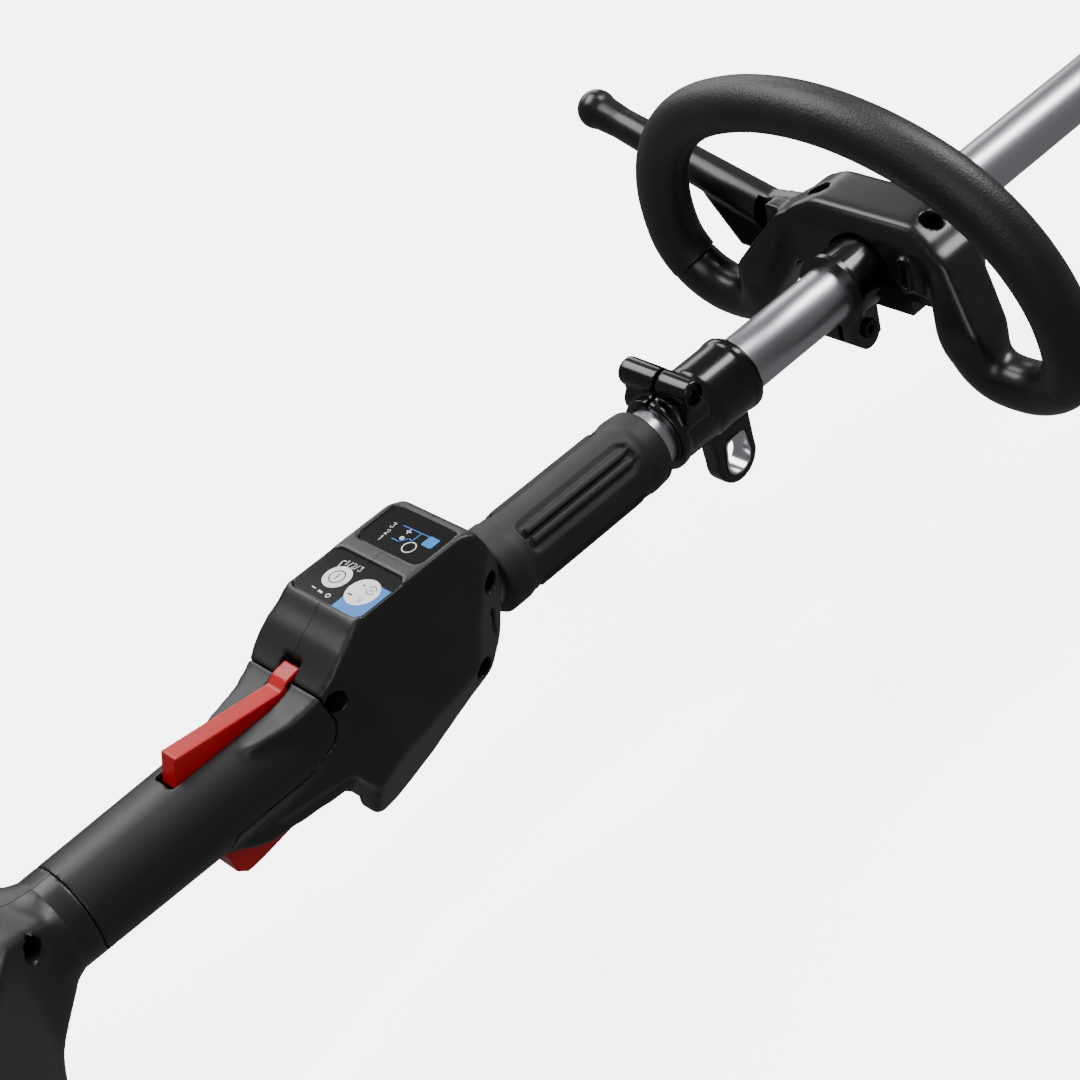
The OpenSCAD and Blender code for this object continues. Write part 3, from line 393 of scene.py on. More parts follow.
TO_ROW = Matrix.Translation(at(0, 0, 0)) @ Matrix.Scale(MM, 4)


def finish_piece(name, bm, material, node, smooth_angle=35, in_mm=True):
    """Makes the piece, lets it ride on the node's body and stand for the node."""
    if in_mm:
        bmesh.ops.transform(bm, matrix=TO_ROW, verts=bm.verts)
    bmesh.ops.recalc_face_normals(bm, faces=bm.faces)
    mesh = bpy.data.meshes.new(name)
    bm.to_mesh(mesh)
    bm.free()
    mesh.materials.append(material)
    mesh.shade_smooth()
    mesh.set_sharp_from_angle(angle=math.radians(smooth_angle))
    piece = bpy.data.objects.new(name, mesh)
    bpy.context.scene.collection.objects.link(piece)
    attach(piece, BODY_OF[node])
    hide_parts(node)
    return piece


def round_edges(piece, width_mm, segments=2):
    """Rounds the edges that turn by more than 30 degrees."""
    bevel = piece.modifiers.new("rounded_edges", "BEVEL")
    bevel.width = width_mm * MM
    bevel.segments = segments
    bevel.limit_method = "ANGLE"
    bevel.angle_limit = math.radians(30)
    bevel.use_clamp_overlap = True
    bevel.harden_normals = True


def softened(node, width_mm):
    """A CAD node with its sharp edges rounded, as moulding and machining leave them."""
    bm = bmesh.new()
    bm.from_mesh(NODES[node].data)
    bmesh.ops.remove_doubles(bm, verts=bm.verts, dist=0.003 * MM)
    bmesh.ops.dissolve_limit(bm, angle_limit=math.radians(0.5), verts=bm.verts,
                             edges=bm.edges)
    piece = finish_piece(node + "_moulding", bm, SLOT_MATERIAL[SLOT_OF[node]], node, in_mm=False)
    round_edges(piece, width_mm, 3)


# Solids below are shaped in millimetres from the balance point, X along the shaft,
# Y to the left and Z up, and are moved to their place when they are finished.

def outline_solid(points, normal, low, high, corner=0.0, segments=4):
    """A flat outline given a thickness along X, Y or Z, its corners rounded first."""
    place = {"X": lambda p, t: (t, p[0], p[1]), "Y": lambda p, t: (p[0], t, p[1]),
             "Z": lambda p, t: (p[0], p[1], t)}[normal]
    bm = bmesh.new()
    bm.faces.new([bm.verts.new(place(p, low)) for p in points])
    if corner:
        bmesh.ops.bevel(bm, geom=bm.verts[:], offset=corner, segments=segments,
                        affect="VERTICES", profile=0.5, material=-1)
    lifted = bmesh.ops.extrude_face_region(bm, geom=bm.faces[:])
    verts = [g for g in lifted["geom"] if isinstance(g, bmesh.types.BMVert)]
    origin, far = Vector(place((0, 0), low)), Vector(place((0, 0), high))
    bmesh.ops.translate(bm, verts=verts, vec=far - origin)
    bmesh.ops.recalc_face_normals(bm, faces=bm.faces)
    return bm


def brick(low, high):
    """A box between two corners."""
    bm = bmesh.new()
    bmesh.ops.create_cube(bm, size=1)
    low, high = Vector(low), Vector(high)
    bmesh.ops.scale(bm, vec=high - low, verts=bm.verts)
    bmesh.ops.translate(bm, vec=(low + high) / 2, verts=bm.verts)
    return bm


def rod(start, end, r_start, r_end=None, sides=48):
    """A round bar or cone between two points."""
    start, end = Vector(start), Vector(end)
    bm = bmesh.new()
    bmesh.ops.create_cone(bm, cap_ends=True, segments=sides, radius1=r_start,
                          radius2=r_start if r_end is None else r_end,
                          depth=(end - start).length)
    turn = (end - start).to_track_quat("Z", "Y").to_matrix().to_4x4()
    bmesh.ops.transform(bm, matrix=Matrix.Translation((start + end) / 2) @ turn, verts=bm.verts)
    return bm


def wrapped(*corner_boxes):
    """The tight skin round several boxes."""
    bm = bmesh.new()
    for low, high in corner_boxes:
        pour(bm, brick(low, high))
    result = bmesh.ops.convex_hull(bm, input=bm.verts)
    bmesh.ops.delete(bm, geom=[v for v in bm.verts if not v.link_faces], context="VERTS")
    inside = [f for f in bm.faces if f not in set(result["geom"])]
    bmesh.ops.delete(bm, geom=inside, context="FACES")
    bmesh.ops.recalc_face_normals(bm, faces=bm.faces)
    return bm


def pour(bm, other):
    """Adds the other mesh's faces to this one."""
    mesh = bpy.data.meshes.new("pour")
    other.to_mesh(mesh)
    other.free()
    bm.from_mesh(mesh)
    bpy.data.meshes.remove(mesh)
    return bm


def together(*solids):
    bm = bmesh.new()
    for solid in solids:
        pour(bm, solid)
    return bm


def worked(bm, *steps):
    """The mesh after modifiers, each given as its kind and settings."""
    used = []

    def as_object(shape):
        mesh = bpy.data.meshes.new("work")
        shape.to_mesh(mesh)
        shape.free()
        made = bpy.data.objects.new("work", mesh)
        bpy.context.scene.collection.objects.link(made)
        used.append(made)
        return made

    work = as_object(bm)
    for kind, settings in steps:
        modifier = work.modifiers.new(kind, kind)
        for key, value in settings.items():
            if isinstance(value, bmesh.types.BMesh):
                value = as_object(value)
            setattr(modifier, key, value)
    view = bpy.context.evaluated_depsgraph_get()
    mesh = bpy.data.meshes.new_from_object(work.evaluated_get(view))
    result = bmesh.new()
    result.from_mesh(mesh)
    bpy.data.meshes.remove(mesh)
    for made in used:
        old = made.data
        bpy.data.objects.remove(made)
        bpy.data.meshes.remove(old)
    return result


def cut(bm, *tools):
    return worked(bm, *[("BOOLEAN", {"operation": "DIFFERENCE", "solver": "MANIFOLD",
                                     "object": tool}) for tool in tools])


def common(bm, tool):
    return worked(bm, ("BOOLEAN", {"operation": "INTERSECT", "solver": "MANIFOLD",
                                   "object": tool}))


def melted(bm, voxel, smoothing, factor=0.5):
    """One closed skin over everything, with its corners worn round."""
    return worked(bm, ("REMESH", {"mode": "VOXEL", "voxel_size": voxel}),
                  ("SMOOTH", {"factor": factor, "iterations": smoothing}))


def sliced(bm, point, normal):
    """Cuts away what is beyond a plane and closes the cut."""
    result = bmesh.ops.bisect_plane(bm, geom=bm.verts[:] + bm.edges[:] + bm.faces[:],
                                    plane_co=point, plane_no=normal, clear_outer=True,
                                    dist=0.0001)
    edges = [g for g in result["geom_cut"] if isinstance(g, bmesh.types.BMEdge)]
    bmesh.ops.holes_fill(bm, edges=edges, sides=0)
    return bm


def plane_through(a, b, c, outside):
    """Point and normal of the plane through three points, pointing at the outside point."""
    a, b, c = Vector(a), Vector(b), Vector(c)
    normal = (b - a).cross(c - a).normalized()
    if normal.dot(Vector(outside) - a) < 0:
        normal = -normal
    return a, normal


# ------------------------------------------------------------------ grip and housings

PANEL_Z = 40
BOX_FRONT = -179.5
BOX_HALF_W = 26

# The control box seen from the side: slope up to the panels, front, then down to the chin
BOX_SIDE = [
    (-300, 19), (-282, 19.6), (-272, 22.6), (-265.5, 27), (-257, 33.6), (-251, 37),
    (-245.5, 41), (-193, 41), (-186, 38),
    (BOX_FRONT, 19), (BOX_FRONT, 6), (-187, -13), (-197, -21), (-211, -28), (-232, -41),
    (-250, -48.5), (-259, -49.5), (-263.5, -45.5), (-262, -30), (-268, -18), (-300, -18)]

# Screws of the control housing, then of the battery housing
SCREWS = [(-265, 18), (-187.5, 15), (-203, -15.2)]
REAR_SCREWS = [(-402, 17), (-409, -15), (-500, 24), (-500, -80), (-450, -40)]


def control_box():
    """The wide box with the panels, its sides drawn in towards the front and the chin."""
    bm = outline_solid(BOX_SIDE, "Y", -BOX_HALF_W, BOX_HALF_W)
    for s in (-1, 1):
        w = s * BOX_HALF_W
        far = (-220, s * 100, 0)
        # top of the side leans in to the panel
        sliced(bm, *plane_through((-250, w, 8), (-190, w, 8), (-220, s * 20.5, 42), far))
        # front of the side turns in to the tube
        sliced(bm, *plane_through((-191, w, 36), (-206, w, -12), (-178, s * 17, 8), far))
        # lower edge turns in to the chin
        sliced(bm, *plane_through((-206, w, -12), (-262, w, -23), (-232, s * 14, -44), far))
        # rear runs down to the grip
        sliced(bm, *plane_through((-250, w, -40), (-250, w, 30), (-284, s * 17.5, 0), far))
    return bm


def trigger_cheeks():
    """The two sides of the trigger's opening, in one block."""
    return wrapped(((-321, -8.5, -19), (-315, 8.5, -5)), ((-306, -11.5, -26), (-286, 12, -5)),
                   ((-272, -15.5, -27.5), (-252, 15.5, -5)))


def battery_housing():
    """Housing that widens behind the grip, with the shelf under the batteries."""
    neck = rod((-396, 0, 1), (-384, 0, 1), 20, 19.2)
    flare = wrapped(((-398, -17, -15), (-392, 17, 18)), ((-414, -26, -26), (-410, 26, 30)))
    swell = wrapped(((-414, -26, -26), (-410, 26, 30)), ((-452, -70, -92), (-450, 70, 32)),
                    ((-470, -78, -118), (-468, 78, 36)))
    trunk = brick((-538, -78, -118), (-468, 78, 36))
    shelf = brick((-602, -78, -118), (-530, 78, -112))
    return together(neck, flare, swell, trunk, shelf)


def dish(x, z, y_face, side, r=4.4, depth=14):
    """A screw's recess, sunk from the face on one side."""
    return rod((x, y_face + side * 3, z), (x, y_face - side * depth, z), r)


def slab_with_round_corners(x0, x1, half_w, z0, z1, corner):
    return outline_solid([(x0, -half_w), (x1, -half_w), (x1, half_w), (x0, half_w)], "Z",
                         z0, z1, corner, 5)


def cover_zone(more):
    """What the soft cover takes of the grip, seen from the side, grown by a margin."""
    edge = [(-377.5 - more, 40), (-377.5 - more, -8 - more), (-371, -13.5 - more),
            (-327, -13.5 - more), (-321 + more, -10 - more), (-318.5 + more, -4.5 - more),
            (-283, -4.5 - more), (-271 + more, 1 - more), (-267.5 + more, 10),
            (-269.5 + more, 18), (-273 + more, 40)]
    return outline_solid(edge, "Y", -40, 40, 2.2, 4)


def lever_openings():
    """Slots of the lock-off lever, in two depths, and of the trigger."""
    return [brick((-328.4, -5.1, 4), (-271, 5.1, 50)), brick((-272, -5.1, 22.8), (-263, 5.1, 50)),
            brick((-323, -6.5, -60), (-259, 6.5, -5))]


def front_skin():
    """Control box, grip and trigger cheeks run into one another as one surface."""
    grip = rod((-396, 0, 1), (-262, 0, 1), 18.6, 20.4, 72)
    return melted(together(control_box(), grip, trigger_cheeks()), 1.45, 9)


def front_body(skin):
    """The hard moulding of the front housing, with all its openings cut."""
    tools = [
        cover_zone(0.3),
        slab_with_round_corners(-245, -220, 20, PANEL_Z - 0.9, PANEL_Z + 6, 4.5),
        slab_with_round_corners(-213.5, -190.5, 18, PANEL_Z - 0.9, PANEL_Z + 6, 4.5),
        rod((-300, 0, 0), (-170, 0, 0), 12.7, 12.7),
        # slot beside the front screw, on both sides
        *[outline_solid([(-192.5, -8), (-190.5, -8), (-189.5, 4), (-191.5, 4)], "Y",
                        min(s * 19, s * 27), max(s * 19, s * 27)) for s in (-1, 1)],
        *lever_openings(),
    ]
    for x, z in SCREWS:
        tools.append(dish(x, z, -BOX_HALF_W if x > -260 else -20, -1))
    return cut(skin, *tools)


def soft_cover(skin):
    """The cover, with a ribbed strip along the lower edge of each side."""
    tools = [brick((-400, -7, -40), (-300, 7, -14)), *lever_openings()]
    for side in (-1, 1):
        for z in (-9.4, -11.4):
            tools.append(rod((-368, side * math.sqrt(19.0 ** 2 - (z - 1) ** 2), z),
                             (-330, side * math.sqrt(19.6 ** 2 - (z - 1) ** 2), z), 0.5,
                             sides=10))
    return cut(common(skin, cover_zone(0)), *tools)


def halves(bm, name, gap):
    """The two mouldings of a housing that is split down its middle plane."""
    other = bm.copy()
    right = sliced(bm, (0, -gap, 0), (0, 1, 0))
    left = sliced(other, (0, gap, 0), (0, -1, 0))
    for side, half, node in (("right", right, "housing_shell_right"),
                             ("left", left, "housing_shell_left")):
        finish_piece(f"{name}_{side}", half, NYLON, node, 40)


def make_housings():
    skin = front_skin()
    fine = melted(front_body(skin.copy()), 0.75, 2)
    halves(fine, "control_housing", 0.12)
    finish_piece("soft_grip_cover", melted(soft_cover(skin), 0.7, 2), OVERMOULD,
                 "rear_grip_cover", 40)
    rear = melted(battery_housing(), 2.4, 7)
    tools = [dish(x, z, -20 if x > -420 else -78, -1, 4.6) for x, z in REAR_SCREWS[:4]]
    tools.append(dish(-450, -40, -66, -1, 4.6))
    rear = cut(rear, *tools)
    halves(melted(rear, 1.5, 2), "battery_housing", 0.15)


# ------------------------------------------------------------------ panels

INK_H = 0.06


def flat_print(name, shapes, material, node):
    """Ink on a film: thin solids that stand a hair above it."""
    finish_piece(name, together(*shapes), material, node)


def ink_bar(x0, y0, x1, y1, width, z):
    """A printed line between two points."""
    start, end = Vector((x0, y0, z)), Vector((x1, y1, z))
    along = (end - start).normalized() * width / 2
    side = Vector((-along.y, along.x, 0))
    corners = [start - along + side, start - along - side, end + along - side, end + along + side]
    return outline_solid([(c.x, c.y) for c in corners], "Z", z, z + INK_H)


def ink_arc(x, y, r, width, z, start, sweep, steps):
    """A printed ring or part of one: a small outline spun round its centre."""
    bm = bmesh.new()
    a = math.radians(start)
    radial, up = Vector((math.cos(a), math.sin(a), 0)), Vector((0, 0, INK_H))
    middle = Vector((x, y, z))
    inner, outer = middle + radial * (r - width / 2), middle + radial * (r + width / 2)
    ring = bm.faces.new([bm.verts.new(p) for p in (inner, outer, outer + up, inner + up)])
    whole = sweep >= 360
    geom = bm.verts[:] + bm.edges[:] + ([] if whole else [ring])
    if whole:
        bmesh.ops.delete(bm, geom=[ring], context="FACES_ONLY")
        geom = bm.verts[:] + bm.edges[:]
    bmesh.ops.spin(bm, geom=geom, cent=middle, axis=(0, 0, 1), angle=math.radians(sweep),
                   steps=steps, use_merge=whole, use_duplicate=False)
    if not whole:
        ends = [e for e in bm.edges if e.is_boundary]
        bmesh.ops.holes_fill(bm, edges=ends, sides=0)
    bmesh.ops.recalc_face_normals(bm, faces=bm.faces)
    return bm


def ink_disc(x, y, r, z):
    """The white ground of a button, thicker than a line."""
    bm = rod((0, 0, z), (0, 0, z + 0.1), r, sides=56)
    bmesh.ops.translate(bm, vec=(x, y, 0), verts=bm.verts)
    return bm


FILM_TOP = PANEL_Z - 0.02
POWER_AT = (-232.3, 5.8)
REVERSE_AT = (-233.2, -9.6)

# Strokes of the figures on a grid two units wide and four high
FIGURES = {
    "1": [((1, 0), (1, 4)), ((1, 4), (0.3, 3.2))],
    "2": [((0, 3.2), (0.4, 4)), ((0.4, 4), (1.6, 4)), ((1.6, 4), (2, 3.2)), ((2, 3.2), (2, 2.6)),
          ((2, 2.6), (0, 0)), ((0, 0), (2, 0))],
    "3": [((0, 4), (2, 4)), ((2, 4), (1, 2.5)), ((1, 2.5), (1.7, 2.2)), ((1.7, 2.2), (2, 1.2)),
          ((2, 1.2), (1.6, 0.2)), ((1.6, 0.2), (0.6, 0)), ((0.6, 0), (0, 0.7))],
}


def figure(text, x, y, height, z, width=0.3):
    """A figure read by the user behind the machine: up is forward, and right is -Y."""
    unit = height / 4
    return [ink_bar(x + a[1] * unit, y - a[0] * unit, x + b[1] * unit, y - b[0] * unit, width, z)
            for a, b in FIGURES[text]]


def make_films():
    z = FILM_TOP
    film = slab_with_round_corners(-244.7, -220.3, 19.7, PANEL_Z - 1, z, 4.3)
    round_edges(finish_piece("button_film", film, FILM, "control_panel_film"), 0.3)
    film = slab_with_round_corners(-213.2, -190.8, 17.7, PANEL_Z - 1, z, 4.3)
    round_edges(finish_piece("indicator_film", film, FILM, "indicator_panel_film"), 0.3)


def print_button_film():
    """Blue field, white grounds, call-outs and marks, and the two domes under them."""
    z = FILM_TOP
    field = outline_solid([(-244.3, -4.6), (-244.3, -19.3), (-227.5, -19.3), (-227.5, -4.6)],
                          "Z", z, z + 0.05)
    field = common(field, slab_with_round_corners(-244.3, -200, 19.3, z - 1, z + 1, 4.0))
    finish_piece("blue_field", field, BLUE_INK, "control_panel_film")
    px, py = POWER_AT
    rx, ry = REVERSE_AT
    white = [ink_disc(px, py, 5.9, z + 0.02), ink_disc(rx, ry, 7.0, z + 0.06)]
    # call-out lines and figures beside the power button
    white += [ink_bar(px + 4.4, py + 4.5, px + 7.4, py + 5.1, 0.42, z),
              ink_bar(px + 7.4, py + 5.1, px + 7.9, py + 3.9, 0.42, z),
              ink_bar(px - 8.4, py + 4.6, px - 8.6, py + 2.6, 0.42, z),
              ink_bar(px - 8.8, py + 0.2, px - 8.9, py - 1.2, 0.9, z),
              ink_arc(px - 8.9, py - 4.9, 0.9, 0.4, z, 0, 360, 20)]
    for text, y in (("1", py + 3.2), ("2", py - 0.5), ("3", py - 4.1)):
        white += figure(text, px + 6.3, y, 2.5, z)
    for y in (py + 1.0, py - 2.6):
        white.append(ink_bar(px + 6.3, y + 0.3, px + 8.8, y - 0.4, 0.3, z))
    flat_print("white_legend", white, WHITE_INK, "control_panel_film")
    # marks on the two buttons, printed dark and blue on white
    top = z + 0.2
    dark = [ink_arc(px, py, 3.2, 0.45, top, 0, 360, 40),
            ink_bar(px - 1.5, py, px + 1.5, py, 0.5, top),
            ink_arc(rx + 2.4, ry - 2.4, 2.0, 0.3, top, 100, 150, 20),
            ink_arc(rx + 2.4, ry - 2.4, 2.0, 0.3, top, 280, 150, 20),
            ink_bar(rx + 1.7, ry - 1.9, rx + 3.1, ry - 1.9, 0.25, top),
            ink_bar(rx + 1.7, ry - 2.9, rx + 3.1, ry - 2.9, 0.25, top),
            ink_bar(rx - 3.2, ry + 4.2, rx - 3.2, ry + 2.7, 0.6, top),
            ink_bar(rx + 3.0, ry + 2.4, rx + 3.0, ry + 2.1, 0.6, top)]
    flat_print("button_marks", dark, FILM, "control_panel_film")
    blue = [ink_bar(rx - 2.4, ry - 1.6, rx - 4.6, ry - 2.6, 0.3, top),
            ink_bar(rx - 2.4, ry - 3.6, rx - 4.6, ry - 2.6, 0.3, top)]
    flat_print("button_marks_blue", blue, BLUE_INK, "control_panel_film")
    # raised domes of the two buttons under the print
    for name, (x, y), r, node in (("power_button_dome", POWER_AT, 5.4, "power_button"),
                                  ("reverse_button_dome", REVERSE_AT, 5.4, "reverse_button")):
        dome = rod((x, y, PANEL_Z - 1), (x, y, z + 0.19), r, r, 56)
        round_edges(finish_piece(name, dome, WHITE_INK, node), 0.12, 2)


def print_indicator_film():
    """Three steps, a lamp ring, and the links between them."""
    z = FILM_TOP
    marks = []
    for text, x, y in (("1", -209.4, 8.8), ("2", -205.8, 9.1), ("3", -202.0, 10.0)):
        marks += figure(text, x, y, 2.6, z)
    marks += [ink_arc(-206.6, -6.0, 2.8, 0.42, z, 0, 360, 36),
              ink_bar(-200.3, 2.0, -200.3, -0.2, 0.4, z), ink_bar(-201.4, 0.9, -199.2, 0.9, 0.4, z),
              ink_arc(-204.2, 0.6, 0.7, 0.5, z, 0, 360, 20)]
    flat_print("indicator_marks", marks, WHITE_INK, "indicator_panel_film")
    blue = [ink_bar(-198.8, 5.4, -198.4, -8.6, 0.4, z), ink_bar(-206.2, 4.1, -206.2, 0.2, 0.4, z),
            ink_bar(-206.2, 0.2, -203.2, -2.2, 0.4, z), ink_bar(-203.2, -2.2, -203.2, -4.4, 0.4, z),
            ink_bar(-198.6, -4.4, -203.2, -4.4, 0.4, z),
            slab_with_round_corners(-203.2, -197.8, 2.7, z, z + 0.06, 0.7)]
    bmesh.ops.translate(blue[-1], vec=(0, -11.4, 0), verts=blue[-1].verts)
    flat_print("indicator_marks_blue", blue, BLUE_INK, "indicator_panel_film")


# ------------------------------------------------------------------ loop handle

# The loop is drawn in the plane at this station and then leans back: its top, its sides and
# its lower corners are arcs that run into one another, and the legs climb to the saddle
LOOP_X = 52
LEAN = math.radians(9)
SIDE_Y, SIDE_Z, SIDE_R = 21, -5, 89
TOP_R, TOP_ANGLE, SIDE_ANGLE = 138, 25, 92
TOP_Z = SIDE_Z - SIDE_Y / math.tan(math.radians(TOP_ANGLE))
CORNER_R = 30
CORNER_Y = SIDE_Y + (SIDE_R - CORNER_R) * math.sin(math.radians(SIDE_ANGLE))
CORNER_Z = SIDE_Z + (SIDE_R - CORNER_R) * math.cos(math.radians(SIDE_ANGLE))
LEG_Y, LEG_R = 58, 17
LEG_BEND = (LEG_Y + LEG_R, CORNER_Z - CORNER_R + LEG_R)
GRAIN_END = 128
LEAN_OVER = (Matrix.Translation((LOOP_X, 0, 0)) @ Matrix.Rotation(-LEAN, 4, "Y"))


def ring_across(cy, cz, r, angle, bar_r, sides=32):
    """A round section of the loop where its outward direction has turned by the angle."""
    a = math.radians(angle)
    bm = bmesh.new()
    bmesh.ops.create_circle(bm, segments=sides, radius=bar_r)
    upright = Matrix.Rotation(math.pi / 2, 4, "X")
    place = Matrix.Translation((0, cy + r * math.sin(a), cz + r * math.cos(a)))
    bmesh.ops.transform(bm, matrix=place @ Matrix.Rotation(-a, 4, "X") @ upright, verts=bm.verts)
    return bm


def carry_round(bm, ring, cy, cz, turn, steps):
    """Carries the last ring round an arc and returns the new last ring."""
    done = bmesh.ops.spin(bm, geom=ring, cent=(0, cy, cz), axis=(1, 0, 0),
                          angle=-math.radians(turn), steps=steps, use_merge=False,
                          use_duplicate=False)
    return done["geom_last"]


def carry_straight(bm, ring, shift):
    """Carries the last ring along a line and returns the new last ring."""
    edges = [g for g in ring if isinstance(g, bmesh.types.BMEdge)]
    done = bmesh.ops.extrude_edge_only(bm, edges=edges)["geom"]
    verts = [g for g in done if isinstance(g, bmesh.types.BMVert)]
    bmesh.ops.translate(bm, vec=shift, verts=verts)
    return [g for g in done if isinstance(g, (bmesh.types.BMVert, bmesh.types.BMEdge))
            and (isinstance(g, bmesh.types.BMVert) or all(v in verts for v in g.verts))]


def close_ends(bm):
    bmesh.ops.holes_fill(bm, edges=[e for e in bm.edges if e.is_boundary], sides=0)
    bmesh.ops.recalc_face_normals(bm, faces=bm.faces)


def make_loop_grip():
    """Pebbled grip from one lower corner over the top to the other."""
    bm = ring_across(0, TOP_Z, TOP_R, 0, 12)
    ring = bm.verts[:] + bm.edges[:]
    ring = carry_round(bm, ring, 0, TOP_Z, TOP_ANGLE, 12)
    ring = carry_round(bm, ring, SIDE_Y, SIDE_Z, SIDE_ANGLE - TOP_ANGLE, 26)
    ring = carry_round(bm, ring, CORNER_Y, CORNER_Z, GRAIN_END - SIDE_ANGLE, 9)
    bmesh.ops.mirror(bm, geom=bm.verts[:] + bm.edges[:] + bm.faces[:], matrix=Matrix(),
                     merge_dist=0.01, axis="Y")
    bmesh.ops.remove_doubles(bm, verts=bm.verts, dist=0.01)
    close_ends(bm)
    bmesh.ops.transform(bm, matrix=LEAN_OVER, verts=bm.verts)
    round_edges(finish_piece("loop_grip_sleeve", bm, PEBBLE, "loop_grip", 40), 1.0, 3)


def loop_leg():
    """Lower corner of the loop and the leg that climbs to the saddle, left side."""
    bm = ring_across(CORNER_Y, CORNER_Z, CORNER_R, GRAIN_END - 6, 11.7)
    ring = bm.verts[:] + bm.edges[:]
    ring = carry_round(bm, ring, CORNER_Y, CORNER_Z, 180 - GRAIN_END + 6, 12)
    ring = carry_straight(bm, ring, (0, LEG_BEND[0] - CORNER_Y, 0))
    ring = carry_round(bm, ring, LEG_BEND[0], LEG_BEND[1], 90, 12)
    close_ends(bm)
    bmesh.ops.transform(bm, matrix=LEAN_OVER, verts=bm.verts)
    return bm


def mirrored(bm):
    """The same solid on the other side of the machine."""
    bmesh.ops.scale(bm, vec=(1, -1, 1), verts=bm.verts)
    bmesh.ops.reverse_faces(bm, faces=bm.faces)
    return bm


SADDLE_REAR, SADDLE_FRONT = 55, 88


def make_saddle():
    """Cap over the tube with its two wings running down into the loop."""
    bridge = outline_solid([(-44, -6), (-44, 14), (-38, 21), (-27, 26), (27, 26), (38, 21), (44, 14),
                            (44, -6)], "X", SADDLE_REAR, SADDLE_FRONT)
    sliced(bridge, (SADDLE_REAR + 5, 0, 26), Vector((-1, 0, 0.55)))
    wings = []
    for side in (-1, 1):
        wings.append(wrapped(((56, side * 41 - 4, -6), (80, side * 41 + 4, 17)),
                             ((46, side * 57 - 10, -20), (68, side * 57 + 11, -12)),
                             ((47, side * 58 - 10, -27), (68, side * 58 + 10, -20))))
    pad = brick((63, 40, -5), (72.4, 59, 13))
    rough = melted(together(bridge, *wings, loop_leg(), mirrored(loop_leg())), 1.9, 12)
    rough = together(rough, pad)
    tools = [rod((SADDLE_REAR - 20, 0, 0), (SADDLE_FRONT + 5, 0, 0), 12.8),
             rod((SADDLE_REAR - 10, 0, 0), (SADDLE_REAR + 2.4, 0, 0), 17.2),
             brick((SADDLE_REAR - 8, -24.5, -30), (SADDLE_FRONT + 8, 24.5, -1)),
             brick((SADDLE_REAR + 2, -40, -30), (SADDLE_FRONT - 6, 40, -5.8))]
    for side in (-1, 1):
        tools.append(rod((70.5, side * 30.5, 14), (70.5, side * 30.5, 50), 4.9))
    solid = cut(melted(rough, 1.2, 2), *tools)
    # slotted boss on the rear face
    pill = outline_solid([(-30, -4), (-23, -4), (-23, 14), (-30, 14)], "X", SADDLE_REAR - 2.2,
                         SADDLE_REAR + 6, 3.4, 5)
    slot = outline_solid([(-28, -1), (-25.2, -1), (-25.2, 11), (-28, 11)], "X", SADDLE_REAR - 5,
                         SADDLE_REAR + 1, 1.35, 4)
    solid = cut(together(solid, pill), slot)
    piece = finish_piece("handle_saddle_and_legs", melted(solid, 0.8, 2), SMOOTH,
                         "handle_saddle", 40)
    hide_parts("loop_bar")


# ------------------------------------------------------------------ levers

def make_levers():
    """Lock-off lever on top of the grip and the trigger below, both with soft edges."""
    lever = outline_solid([(-264.8, 23.4), (-264.8, 26), (-271.5, 24.9), (-275.2, 22.4),
                           (-322.4, 28.8), (-326.6, 16.8), (-322, 14.5), (-290, 15.2),
                           (-281, 9.6), (-274, 10), (-272.3, 23)], "Y", -4.4, 4.4)
    finish_piece("lock_off_paddle",
                 cut(melted(lever, 0.42, 7), rod((-278, -9, 14), (-278, 9, 14), 1.6)),
                 RED, "lock_off_lever", 50)
    trigger = outline_solid([(-265.5, -9), (-300, -12), (-316, -14.5), (-319.5, -24),
                             (-319, -31), (-315, -34.6), (-308.5, -34.4), (-288.4, -31.2),
                             (-274, -29.6), (-264.8, -30.5)], "Y", -6, 6)
    well = rod((-295, 0, -30.5), (-295, 0, 0), 3.4, sides=24)
    finish_piece("trigger_blade",
                 cut(melted(trigger, 0.42, 7), well, rod((-270, -9, -13), (-270, 9, -13), 1.8)),
                 RED, "trigger", 50)


# ------------------------------------------------------------------ front grip

def make_front_grip():
    """Rubber sleeve with sunk panels, each with two ribs, between thicker ends."""
    body = together(rod((-176, 0, 0), (-84, 0, 0), 16.9, sides=96),
                    rod((-176, 0, 0), (-165, 0, 0), 17.6, sides=96),
                    rod((-94, 0, 0), (-84, 0, 0), 17.6, 16.8, sides=96))
    tools = []
    ribs = []
    for k in range(4):
        turn = Matrix.Rotation(math.radians(45 + 90 * k), 4, "X")
        panel = outline_solid([(-160, -6), (-156, -8), (-104, -8), (-99, -4), (-99, 4), (-104, 8),
                               (-156, 8), (-160, 6)], "Z", 14.9, 20)
        bmesh.ops.transform(panel, matrix=turn, verts=panel.verts)
        tools.append(panel)
        for y in (-2.3, 2.3):
            rib = outline_solid([(-158, y - 1.5), (-103, y - 1.5), (-100, y), (-103, y + 1.5),
                                 (-158, y + 1.5)], "Z", 14, 17.3)
            bmesh.ops.transform(rib, matrix=turn, verts=rib.verts)
            ribs.append(rib)
    shape = cut(melted(body, 0.9, 4), *tools)
    shape = cut(melted(together(shape, *ribs), 0.7, 3), rod((-190, 0, 0), (-70, 0, 0), 12.75))
    finish_piece("front_grip_sleeve", shape, RUBBER, "front_grip", 40)


# ------------------------------------------------------------------ barrier bar

